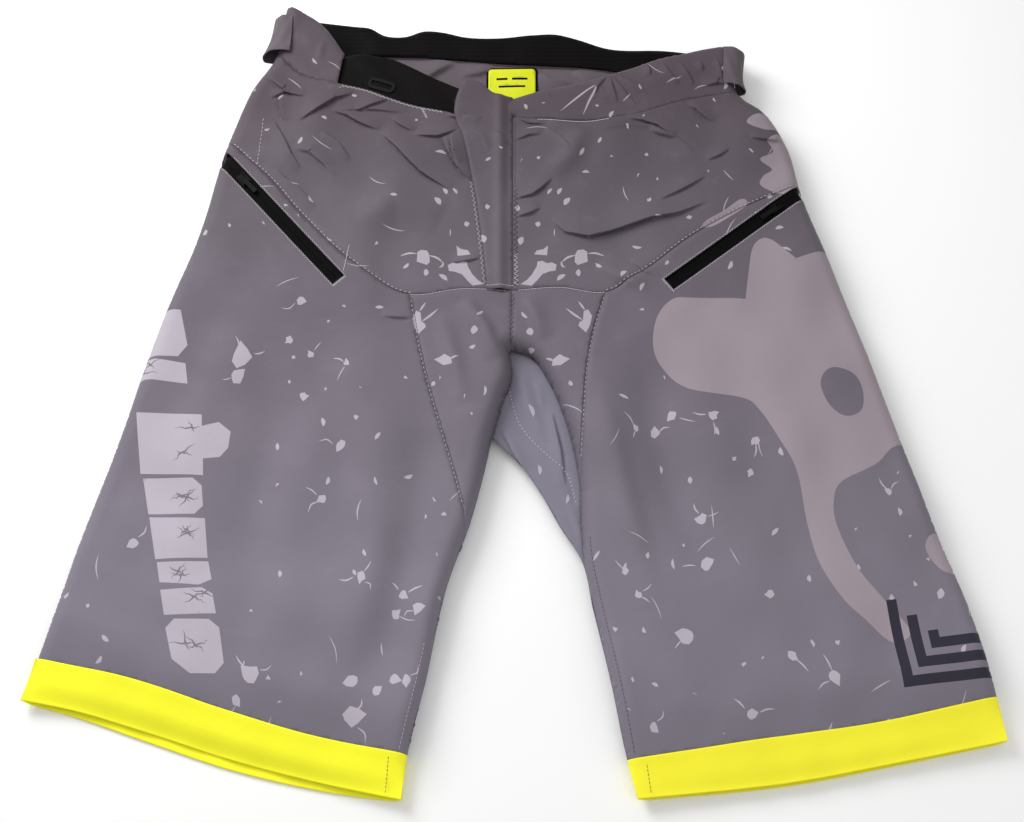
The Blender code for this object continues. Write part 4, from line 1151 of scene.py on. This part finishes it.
def front_cloth():
    def panel(name, loop, rounded, seed, holes=()):
        cut_piece(f"{name}_cloth", loop, front_z, PRINTED, [name], "shell_cloth", shapes=shapes_printed,
                  holes=holes, rounded=rounded, folds=SHARP_FOLDS, seed=seed, shift=fold_shift)

    seam_a = tied(run(yoke_right, 0, turn_right), first=at_y(outer_right, 0.207))
    seam_b = run(yoke_right, turn_right, at_fly)
    centre_top, centre_low = np.array((0.0, 0.063)), np.array((-0.001, 0.0125))
    seam_c = tied(run(yoke_right, at_fly, 1), last=centre_top)
    seam_d = tied(run(yoke_left, 0, turn_left), first=centre_top)
    seam_e = tied(run(yoke_left, turn_left, 1), last=at_y(outer_left, 0.165))
    thigh_end_right, thigh_end_left = where(leg_inner_right, -0.160, 1), where(leg_inner_left, -0.110, 1)
    thigh_right, thigh_left = run(leg_inner_right, 0, thigh_end_right), run(leg_inner_left, 0, thigh_end_left)

    panel("front_leg_right", chain(
        stretch(outer_right, 0.207, -0.2465), tied(run(hem_top_right), first=at_y(outer_right, -0.2465)),
        run(leg_inner_right, thigh_end_right, 1)[::-1], thigh_right[::-1], seam_a[::-1]),
        [OUTER_RIGHT, LEG_INNER_RIGHT[5:]], 1, [slots_right])
    panel("front_leg_left", chain(
        stretch(outer_left, 0.165, -0.276), tied(run(hem_top_left), last=at_y(outer_left, -0.276))[::-1],
        run(leg_inner_left, thigh_end_left, 1)[::-1], thigh_left[::-1], seam_e),
        [OUTER_LEFT, LEG_INNER_LEFT[4:]], 2, [slots_left])
    panel("front_yoke_right", chain(
        seam_a, seam_b, straight((fly_edge, 0.0635), (fly_edge, 0.219)), run(yoke_top_right)[::-1],
        run(band_seam_right)[::-1], stretch(outer_right, 0.302, 0.207)),
        [OUTER_RIGHT[:5]], 3, [slots_right])
    panel("front_yoke_left", chain(
        seam_d, seam_e, stretch(outer_left, 0.256, 0.165)[::-1], run(band_seam_left)[::-1],
        straight((0.002, 0.231), (-0.004, 0.229)), straight((-0.004, 0.229), (-0.004, 0.0632))),
        [OUTER_LEFT[:5]], 4, [slots_left])
    panel("inner_thigh_right", chain(
        seam_b, seam_c, straight(centre_top, centre_low), tied(run(fold_right), first=centre_low),
        tied(stretch(inseam_right, -0.063, -0.160), last=thigh_right[-1]), thigh_right[::-1]),
        [FOLD_RIGHT, INSEAM_RIGHT[:4]], 5)
    panel("inner_thigh_left", chain(
        straight(centre_low, centre_top), seam_d, thigh_left,
        tied(stretch(fold_left, 0.0129, -0.110), first=centre_low, last=thigh_left[-1])[::-1]),
        [FOLD_LEFT], 6)
    grow = 0.002  # the gusset runs on a little under the front panels
    cut_piece("crotch_gusset_cloth", chain(
        [(0.012, 0.016), (0.002, 0.020), (-0.006, 0.016)],
        stretch(fold_right, 0.006, -0.063) + (-grow * 0.6, 0), stretch(inseam_left, -0.063, -0.176),
        stretch(leg_inner_left, -0.168, -0.092) + (grow, 0), stretch(fold_left, -0.090, 0.008) + (grow, 0)),
        gusset_z, [gusset_cloth, splash, lining], ["crotch_gusset"], "lining_cloth", spacing=0.0026, seed=7,
        folds=GUSSET_FOLDS[:3], shapes=[(s, 1) for s in gusset_splashes()])


def back_cloth():
    seam, centre = curve(BACK_YOKE_SEAM), curve(BACK_CENTRE_SEAM)
    middle = where(seam, 0.0, 0)
    seam_right = tied(run(seam, 0, middle, 0.005), first=at_y(outer_right, 0.175))
    seam_left = tied(run(seam, middle, 1, 0.005), last=at_y(outer_left, 0.152))
    for side, loop, edges in (
        ("right", chain(stretch(outer_right, 0.175, -0.2465), run(hem_top_right),
                        stretch(inseam_right, -0.320, -0.063), run(centre, step=0.005), seam_right[::-1]),
         [OUTER_RIGHT, INSEAM_RIGHT]),
        ("left", chain(stretch(outer_left, 0.152, -0.276), run(hem_top_left)[::-1],
                       stretch(inseam_left, -0.3235, -0.063), run(centre, step=0.005), seam_left),
         [OUTER_LEFT, INSEAM_LEFT]),
    ):
        cut_piece(f"back_leg_{side}_cloth", loop, back_z, PLAIN, [f"back_leg_{side}"], "shell_cloth",
                  spacing=0.0065, rounded=edges, seed=12, down=True)
    top = run(curve(BAND_SEAM_BACK), step=0.005)
    cut_piece("back_yoke_cloth", chain(
        seam_right, seam_left, stretch(outer_left, 0.256, 0.152)[::-1], top[::-1],
        stretch(outer_right, 0.302, 0.175)),
        back_inside_z, [shell, shell, lining], ["back_yoke"], "shell_cloth", spacing=0.0050,
        rounded=[OUTER_RIGHT[:6], OUTER_LEFT[:6]], folds=LINING_FOLDS, seed=13, down=True)


def bunched(count):
    """Column places from 0 to 1, closer together at both ends."""
    u = np.linspace(0, 1, count)
    return u - 0.145 * np.sin(2 * math.pi * u)


def hems():
    """Each hem is one ring of folded yellow cloth, its mouth a little open towards the viewer."""
    for side, top, edge, look, behind, open_by in (
        ("right", hem_top_right, hem_edge_right, yellow, 0.0072, 0.0074),
        # the left hem takes the painted-shade copy of the yellow
        ("left", hem_top_left, hem_edge_left, yellow_painted_shade, 0.0012, 0.0030),
    ):
        columns = bunched(120)
        arch = np.sin(math.pi * columns)
        rows = []
        for v in np.linspace(0, 1, 13):
            v = v - 0.10 * math.sin(2 * math.pi * v)
            front = np.array([edge(u) + (top(u) - edge(u)) * v * 1.03 for u in columns])
            back = front + arch[:, None] ** 0.7 * np.array((0.0, -behind * (1 - v)))
            ripple = 0.0005 * np.sin(columns * 46) * (1 - v) * arch
            droop = open_by * smooth(1 - v / 0.45) * arch ** 0.5
            fz = front_z(front) + ripple - droop + 0.0006 * smooth((v - 0.8) / 0.2)
            behind_it = np.column_stack([back, back_z(back)])
            rows.append(np.concatenate([np.column_stack([front, fz]), behind_it[::-1]]))
        mesh = rows_mesh(f"hem_band_{side}_cloth", rows, closed=True)
        made = add(mesh.name, mesh, [look], replaces=[f"hem_band_{side}"])
        thicken(made, FOLDED)


def rolled_edge(off_edge, width):
    """1 at an edge and 0 where the cloth has become level, along a quarter of a circle."""
    return 1 - np.sqrt(1 - (1 - np.clip(off_edge / width, 0, 1)) ** 2)


def waistbands():
    def rim_rolled(rim, seam):
        """The casing swells a little between its seam and its rolled rim."""
        line, seam_line = run(rim), run(seam)

        def height(points):
            off_rim = nearest(points, [line])
            drop = 0.0036 * rolled_edge(off_rim, 0.004)
            puff = 0.0010 * np.sin(math.pi * np.clip(off_rim / 0.030, 0, 1))
            puff = puff * smooth(nearest(points, [seam_line]) / 0.008) * risen(points)
            lies = front_z(points)
            lifted = np.maximum(lies, plain_front_z(points) - 0.0003) - lies
            return lies + lifted * smooth(nearest(points, [seam_line]) / 0.006) - drop + puff

        return height

    def facing(rim):
        line = run(rim)

        def height(points):
            return plain_front_z(points) - 0.0046 + 0.0008 * (1 - smooth(nearest(points, [line]) / 0.010))

        return height

    def casing(side, loop, rim, seam, lowest, seed):
        folds = [one for one in SHARP_FOLDS if one[3][0][1] > lowest]
        name = f"waistband_front_{side}"
        cut_piece(f"{name}_cloth", loop, rim_rolled(rim, seam), PRINTED, [name], "shell_cloth",
                  shapes=shapes_printed, spacing=0.0026, folds=folds, seed=seed, shift=fold_shift)

    end_low, end_high = np.array(BAND_SEAM_RIGHT[-1]), np.array(RIM_RIGHT[-1])
    casing("right", chain(
        run(band_seam_right), straight(end_low, end_high), run(rim_right)[::-1],
        stretch(outer_right, 0.351, 0.302)), rim_right, band_seam_right, 0.22, 21)
    casing("left", chain(
        run(band_seam_left), stretch(outer_left, 0.307, 0.256)[::-1], run(rim_left)[::-1],
        straight((0.002, 0.2505), (-0.006, 0.2490)), straight((-0.006, 0.2490), (-0.006, 0.2310))),
        rim_left, band_seam_left, 0.20, 22)
    cut_piece("waistband_facing_right_cloth", chain(
        run(band_seam_right, 0.10, 1), straight(end_low, end_high), run(rim_right, 0.08, 1)[::-1]),
        facing(rim_right), [lining], ["waistband_facing_right"], "lining_cloth",
        spacing=0.004, seed=23, down=True)
    cut_piece("waistband_facing_left_cloth", chain(
        run(band_seam_left, 0.0, 0.93), run(rim_left, 0.0, 0.93)[::-1]),
        facing(rim_left), [lining], ["waistband_facing_left"], "lining_cloth",
        spacing=0.004, seed=24, down=True)
    inset = 0.0045
    strip = chain(
        offset_line(run(band_seam_left, 0.03, 0.90), inset),
        offset_line(run(rim_left, 0.03, 0.90), -inset)[::-1])

    def elastic_z(points):
        return plain_front_z(points) - 0.0030 + 0.0003 * np.sin(points[:, 0] * 900)

    cut_piece("waist_elastic_left_strip", strip, elastic_z, [elastic], ["waist_elastic_left"],
              "black_elastic", thickness=0.0012, spacing=0.004, seed=25)

    seam, rim = curve(BAND_SEAM_BACK), curve(RIM_BACK)
    cut_piece("waistband_back_cloth", chain(
        run(seam), stretch(outer_left, 0.307, 0.256)[::-1], run(rim)[::-1],
        stretch(outer_right, 0.351, 0.302)),
        back_z, [shell, lining], ["waistband_back"], "shell_cloth", thickness=FOLDED, spacing=0.005,
        rounded=[OUTER_RIGHT[:3], OUTER_LEFT[:3]], seed=26, down=True)
    rim_line = run(rim)

    def gripper_z(points):
        wrap = 0.0016 * (1 - smooth(nearest(points, [rim_line]) / 0.003))
        wave = 0.0007 * np.sin(points[:, 0] * 95) * np.sin(points[:, 0] * 41 + 1.0)
        return back_z(points) + 0.0034 + wave * smooth(nearest(points, [rim_line]) / 0.008) - wrap

    cut_piece("waist_gripper_band", chain(
        offset_line(run(seam, 0.05, 0.94), 0.0010), offset_line(run(rim, 0.05, 0.945), 0.0008)[::-1]),
        gripper_z, [gripper_rubber], ["waist_gripper"], "black_elastic",
        thickness=0.0011, spacing=0.004, seed=27)


def side_tabs():
    for side, sign, bottom, top, inner in (
        ("right", -1, 0.2975, 0.3340, -0.0105), ("left", 1, 0.262, 0.300, -0.0130),
    ):
        line = outer_right if sign < 0 else outer_left
        rows = []
        for y in np.linspace(bottom, top, 16):
            edge = line(where(line, y, 1))[0]
            high = FRONT_RISE + FRONT_SLOPE * y
            profile = curve((
                (inner, high + 0.0014), (inner + 0.007, high + 0.0018), (0.0010, high - 0.0008),
                (0.0050, high - 0.0055), (0.0068, 0.0190), (0.0058, 0.0135), (0.0010, 0.0110),
            ))
            share = (y - bottom) / (top - bottom)
            pinch = 1 - 0.10 * math.sin(math.pi * share) + (0.45 * (1 - share) if sign < 0 else 0)
            row = []
            for u in np.linspace(0, 1, 26):
                out, z = profile(u)
                wavy = y + 0.0009 * math.sin(7 * u + sign)
                row.append((edge + sign * out * pinch, wavy, z + 0.0004 * math.sin(22 * u + 9 * share)))
            rows.append(row)
        mesh = rows_mesh(f"side_tab_{side}_cloth", rows)
        if sign > 0:
            mesh.flip_normals()
        made = add(mesh.name, mesh, [shell, lining], replaces=[f"side_tab_{side}"])
        thicken(made, 0.0011, 1)
        soft = made.modifiers.new("eased_edges", "BEVEL")
        soft.width = 0.0003
        soft.segments = 2


def waist_strap():
    start, end = np.array(STRAP_LINE[0]), np.array(STRAP_LINE[1])
    way = (end - start) / np.linalg.norm(end - start)
    side = np.array((-way[1], way[0]))
    corners = [start + way * s + side * v for s, v in STRAP_OUTLINE]
    loop = chain(*(straight(a, b) for a, b in zip(corners, corners[1:] + corners[:1])))

    def strap_z(points):
        s, v = (points - start) @ way, (points - start) @ side
        border = nearest(points, [np.concatenate([loop, loop[:1]])])
        edge_drop = 0.0007 * (1 - smooth(border / 0.0016))
        ridge = 0.0009 * np.exp(-(((v + 0.0060) / 0.0012) ** 2)) * smooth((s - 0.030) / 0.020)
        welt = 0.0005 * np.exp(-(((v + 0.0110) / 0.0009) ** 2))
        wave = 0.0004 * np.sin(s * 140 + 150 * v)
        under_casing = 0.0012 * (1 - smooth((s - 0.014) / 0.016))
        level = FRONT_RISE + FRONT_SLOPE * points[:, 1]
        return level - 0.0022 - edge_drop + ridge + welt + wave - under_casing

    turn = -math.atan2(way[1], way[0])
    look = elastic_look("strap_ribs", srgb(8, 6, 7), pitch=0.0017, angle=turn, rough=0.6)
    mesh = sheet_mesh("waist_strap_webbing", loop, strap_z, spacing=0.0022, seed=28)
    made = add(mesh.name, mesh, [look], replaces=["waist_strap"])
    flat, area = plan_size(mesh)
    thicken(made, 0.0012)


PLACKET_FOLDS = [
    fold(1.4, 1.2, 6, (-44, 228), (-36, 229), (-26, 227)),
    fold(1.2, 5, 1.2, (-33, 214), (-26, 207), (-20, 196)),
    fold(1.2, 1.2, 5, (-16, 214), (-8, 207), (-1, 203)),
]


def fly():
    free, sewn = curve(PLACKET_FREE_EDGE), curve(PLACKET_SEWN_EDGE)
    sewn_line, free_line = run(sewn), run(free)

    def placket_z(points):
        off_sewn = nearest(points, [sewn_line])
        off_foot = smooth((points[:, 1] - 0.064) / 0.016)
        lift = (0.0010 + 0.0022 * smooth(off_sewn / 0.013)) * (0.35 + 0.65 * off_foot)
        edge = 0.0012 * rolled_edge(nearest(points, [free_line]), 0.003)
        zip_ridge = 0.0020 * np.exp(-(((points[:, 0] - FLY_X) / 0.0045) ** 2))
        follow = 0.35 + 0.65 * np.exp(-((off_sewn / 0.007) ** 2))
        folds = fold_heights(np.asarray(points, float), PLACKET_FOLDS)
        lies = front_z(points) * follow + plain_front_z(points) * (1 - follow)
        return lies + lift + zip_ridge - edge + folds

    cut_piece("fly_placket_cloth", chain(
        run(free), run(curve(PLACKET_TOP))[::-1], sewn_line[::-1],
        straight(PLACKET_SEWN_EDGE[0], PLACKET_FREE_EDGE[0])),
        placket_z, PRINTED, ["fly_placket"], "shell_cloth", shapes=shapes_printed, spacing=0.0022,
        thickness=0.0010, folds=PLACKET_FOLDS, seed=31)
    shield = np.array(((-0.028, 0.070), (0.008, 0.070), (0.008, 0.214), (-0.030, 0.214)))
    loop = chain(*(straight(a, b) for a, b in zip(shield, np.roll(shield, -1, axis=0))))
    cut_piece("fly_shield_cloth", loop, lambda q: plain_front_z(q) - 0.0085, [lining], ["fly_shield"],
              "lining_cloth", spacing=0.004, seed=32)
    sewn_row = run(curve(((0.0030, 0.158), (0.0032, 0.110), (0.0036, 0.067))))
    stitches("fly_sewn_edge_stitches", sewn_row, front_z, thread_dark,
             pitch=0.0023, zigzag=0.0018, width=0.0004)
    free_row = offset_line(stretch(free, 0.068, 0.165), 0.0016)
    stitches("fly_free_edge_stitches", free_row, placket_z, thread, pitch=0.0023, zigzag=0.0012, width=0.0004)
    foot_row = run(curve(((0.0034, 0.097), (0.0036, 0.067))))
    stitches("fly_foot_stitches", foot_row, front_z, thread, pitch=0.0021, zigzag=0.0018, width=0.0006)
    stitches("fly_foot_bar", straight((-0.022, 0.0665), (0.001, 0.0668)), placket_z, thread,
             pitch=0.0026, width=0.0005)
    seam_row = straight((0.0025, 0.160), (0.0025, 0.226))
    stitches("fly_seam_stitches", seam_row, front_z, thread_dark, pitch=0.0030)

    tape_rows("fly_zip", (FLY_X, 0.205), (0.0, -1.0), -0.0075, 0.1230, 0.0108,
              lambda q: plain_front_z(q) - 0.0035)


def tape_rows(prefix, start, way, first, last, reach, height):
    """Both halves of a zip's tape, each ribbed and finished with a raised inner edge."""
    start, way = np.array(start), np.array(way)
    side = np.array((-way[1], way[0]))
    for name, sign in (("upper", 1), ("lower", -1)):
        rows = []
        for s in np.linspace(first, last, 70):
            plan = np.array([start + way * s + side * sign * v for v in np.linspace(0.00006, reach, 12)])
            v = np.linspace(0, 1, 12)
            bead = -0.0002 * np.exp(-((v - 0.10) / 0.07) ** 2)
            rows.append(np.column_stack([plan, height(plan) + bead]))
        mesh = rows_mesh(f"{prefix}_tape_{name}_cloth", rows)
        if sign > 0:
            mesh.flip_normals()
        made = add(mesh.name, mesh, [tape_black], replaces=[f"{prefix}_tape_{name}"])
        thicken(made, 0.0006)


def pockets():
    for side, line, end in (
        ("right", POCKET_ZIP_RIGHT, RIGHT_SLOT_END), ("left", POCKET_ZIP_LEFT, LEFT_SLOT_END),
    ):
        a, b = np.array(line[0]), np.array(line[1])
        way = (b - a) / np.linalg.norm(b - a)
        across = np.array((-way[1], way[0]))
        half = 0.0074
        tape_rows(f"pocket_zip_{side}", a, way, 0.0012, end + 0.003, half,
                  lambda q: plain_front_z(q) - TAPE_UNDER_SKIN)
        for name, sign in (("upper", 1), ("lower", -1)):
            off = across * sign * (ZIP_SLOT / 2 + 0.0009)
            edge_line = straight(a + way * 0.006 + off, a + way * (end + 0.0006) + off)
            stitches(f"pocket_zip_{side}_edge_{name}", edge_line, front_z, thread,
                     pitch=0.0013, zigzag=0.00065, width=0.00034)
        middle = a + way * (end + 0.0012)
        stitches(f"pocket_zip_{side}_bar", straight(middle - across * half, middle + across * half), front_z,
                 thread, pitch=0.0008, zigzag=0.0011, width=0.00036, lift=-0.00012)
    for side, outline in (
        ("right", mm((-232, 158), (-142, 60), (-132, -60), (-150, -95), (-235, -105), (-262, -80))),
        ("left", mm((232, 128), (128, 52), (126, -70), (146, -105), (232, -112), (262, -85))),
    ):
        loop = chain(*(straight(p, q, 0.006) for p, q in zip(outline, outline[1:] + outline[:1])))
        if side == "right":
            loop = loop[::-1]
        cut_piece(f"pocket_bag_{side}_mesh", loop, bag_z, [mesh_cloth], [f"pocket_bag_{side}"], "pocket_mesh",
                  thickness=0.0012, spacing=0.007, seed=41)


def bag_z(points):
    tilt = math.tan(math.radians(1.2))
    return 0.0131 + tilt * points[:, 1] + 0.0003 * np.sin(points[:, 1] * 160)


def label():
    def rounded(wide, tall, cx, cy, r=0.003):
        loop = []
        for quarter, (sx, sy) in enumerate(((1, 1), (-1, 1), (-1, -1), (1, -1))):
            for k in range(4):
                angle = math.pi / 2 * (quarter + k / 3)
                x, y = cx + sx * (wide / 2 - r), cy + sy * (tall / 2 - r)
                loop.append((x + r * math.cos(angle), y + r * math.sin(angle)))
        return np.array(loop)

    def lift(base):
        return lambda q: base + 0.0007 * np.sin(q[:, 0] * 110 + 0.8) + 0.0005 * np.sin(q[:, 1] * 150)

    cut_piece("label_backing_cloth", rounded(0.046, 0.044, 0, 0.2765), lift(0.0024), [tape_black],
              ["label_backing"], "black_trim", thickness=0.0005, spacing=0.003, seed=51)
    tall = 0.0022
    marks = [np.array(((x, y), (x + w, y), (x + w, y + tall), (x, y + tall))) for x, y, w in (
        (-0.014, 0.2855, 0.010), (0.000, 0.2855, 0.014), (-0.012, 0.2775, 0.024))]
    cut_piece("size_label_cloth", rounded(0.0424, 0.0404, 0, 0.2765), lift(0.0033),
              [label_cloth, tape_black, label_cloth], ["size_label"], "label_cloth", thickness=0.0004,
              spacing=0.003, shapes=[(m, 1) for m in marks], seed=52)


def seams():
    """Topstitching and seam lines that show on the front."""
    yoke_top = dict(look=thread, pitch=0.0040, width=0.00055)
    crotch = dict(look=thread, pitch=0.0026, length=0.0024, width=0.0006)
    thigh = dict(look=thread_dark, pitch=0.0030)
    thigh_top = dict(look=thread, pitch=0.0041, length=0.0018, width=0.00055)
    hem_seam = dict(look=thread_yellow, pitch=0.0036, width=0.0004)
    hem_joint = dict(look=thread_dark, pitch=0.0030, width=0.0004)
    thigh_right = run(leg_inner_right, 0.01, where(leg_inner_right, -0.125, 1))
    thigh_left = run(leg_inner_left, 0.01, where(leg_inner_left, -0.082, 1))
    for name, line, how in (
        ("yoke_topstitch_right", offset_line(run(yoke_right, 0.02, turn_right), 0.0016), yoke_top),
        ("yoke_topstitch_left", offset_line(run(yoke_left, turn_left, 0.97), 0.0016), yoke_top),
        ("crotch_seam_right", run(yoke_right, turn_right, 0.985), crotch),
        ("crotch_seam_left", run(yoke_left, 0.015, turn_left), crotch),
        ("thigh_seam_right", offset_line(thigh_right, 0.0012), thigh),
        ("thigh_seam_right_top", thigh_right, thigh_top),
        ("thigh_seam_left", offset_line(thigh_left, -0.0012), thigh),
        ("thigh_seam_left_top", thigh_left, thigh_top),
        ("gusset_seam_stitches", offset_line(run(curve(GUSSET_SEAM)), 0.0014),
         dict(height=gusset_z, look=thread, pitch=0.0034, length=0.0017, width=0.0008)),
        ("centre_seam_stitches", straight((0.0012, 0.060), (-0.0005, 0.016)),
         dict(look=thread_dark, pitch=0.0022, zigzag=0.0012, width=0.0004)),
        ("hip_dart_stitches", straight((-0.2170, 0.230), (-0.2190, 0.184)), yoke_top),
        ("zip_to_seam_line_right", straight((-0.1370, 0.104), (-0.1412, 0.080)),
         dict(look=thread, pitch=0.0020, length=0.0021, width=0.0006)),
        ("inseam_topstitch_right", stretch(leg_inner_right, -0.235, -0.316) + (-0.0065, 0),
         dict(look=thread, pitch=0.0033, width=0.0004)),
        ("inseam_topstitch_left", stretch(leg_inner_left, -0.150, -0.318) + (0.0060, 0),
         dict(look=thread_dark, pitch=0.0033, width=0.0004)),
        ("hem_seam_right_stitches", offset_line(run(hem_top_right, 0.01, 0.99), -0.0014), hem_seam),
        ("hem_seam_left_stitches", offset_line(run(hem_top_left, 0.01, 0.99), -0.0014), hem_seam),
        ("hem_joint_right", straight((-0.0925, -0.3200), (-0.0945, -0.3470)), hem_joint),
        ("hem_joint_left", straight((0.1010, -0.3260), (0.1040, -0.3480)), hem_joint),
        ("yoke_edge_right", offset_line(run(yoke_top_right, 0.03, 0.68), -0.0016),
         dict(look=thread, pitch=0.0019, zigzag=0.0009, width=0.0005)),
        ("yoke_edge_bar", straight((-0.0785, 0.2385), (-0.0740, 0.2280)),
         dict(look=thread, pitch=0.0010, zigzag=0.0010, width=0.0005)),
        ("casing_seam_left", offset_line(run(band_seam_left, 0.10, 0.40), -0.0010),
         dict(look=thread, pitch=0.0026, length=0.0025, width=0.0006)),
    ):
        stitches(name, line, **{"height": front_z, **how})

    def tab_top(points):
        return FRONT_RISE + FRONT_SLOPE * points[:, 1] + 0.0018

    for side, top, bottom in (
        ("right", (-0.1985, 0.331), (-0.2020, 0.3000)), ("left", (0.1925, 0.296), (0.1935, 0.266)),
    ):
        stitches(f"tab_stitches_{side}", straight(top, bottom), tab_top, thread, pitch=0.0026, width=0.0005)


def trim_looks():
    for name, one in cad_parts.items():
        if name.endswith(("_coil_lower", "_coil_upper")) or name in ("closure_bar", "closure_bar_inner"):
            look = black_plastic
        elif name == "waist_hook" or name.startswith("fly_zip") and name.endswith(("slider", "pull", "stop")):
            look = zip_metal
        elif name.endswith(("slider", "pull", "stop")):
            look = black_zip
        else:
            continue
        for index in range(len(one.material_slots)):
            one.material_slots[index].material = look


# ---------------------------------------------------------------- studio

def studio():
    bpy.ops.mesh.primitive_plane_add(size=6, location=(0, 0, -0.0006))
    floor = bpy.context.object
    floor.name = "studio_floor"
    look, tree, shader = node_tree("floor_paper")
    cloudy = noise(tree, object_place(tree), 3.0)
    paper = mixed(tree, cloudy, (0.86, 0.86, 0.865, 1), (0.88, 0.88, 0.88, 1))
    put(tree, shader, Base_Color=paper, Roughness=0.9)
    floor.data.materials.append(look)

    world = bpy.data.worlds.new("studio")
    bpy.context.scene.world = world
    world.use_nodes = True
    background = world.node_tree.nodes["Background"]
    background.inputs[0].default_value = (1.0, 1.0, 1.0, 1)
    background.inputs[1].default_value = 0.50
    bpy.context.scene.view_settings.view_transform = "Standard"

    for name, place, size, power in (
        ("key", (-0.80, 0.72, 0.85), 0.75, 17.5), ("fill", (0.9, -0.8, 1.3), 1.4, 4.0),
        ("top", (0.0, 0.1, 2.0), 2.0, 8.0),
    ):
        data = bpy.data.lights.new(name, "AREA")
        data.energy = power
        data.size = size
        lamp = bpy.data.objects.new(name, data)
        bpy.context.scene.collection.objects.link(lamp)
        lamp.location = place
        lamp.rotation_euler = (Vector((0, -0.03, 0)) - Vector(place)).to_track_quat("-Z", "Y").to_euler()

    data = bpy.data.cameras.new("camera")
    data.lens, data.sensor_width = 55.3, 36.0
    camera = bpy.data.objects.new("camera", data)
    bpy.context.scene.collection.objects.link(camera)
    distance, elevation, aim = 1.30, math.radians(68), Vector((0, -0.035, 0))
    camera.location = aim + distance * Vector((0, -math.cos(elevation), math.sin(elevation)))
    camera.rotation_euler = (aim - camera.location).to_track_quat("-Z", "Y").to_euler()
    bpy.context.scene.camera = camera


front_cloth()
back_cloth()
hems()
waistbands()
side_tabs()
waist_strap()
fly()
pockets()
label()
seams()
trim_looks()
studio()
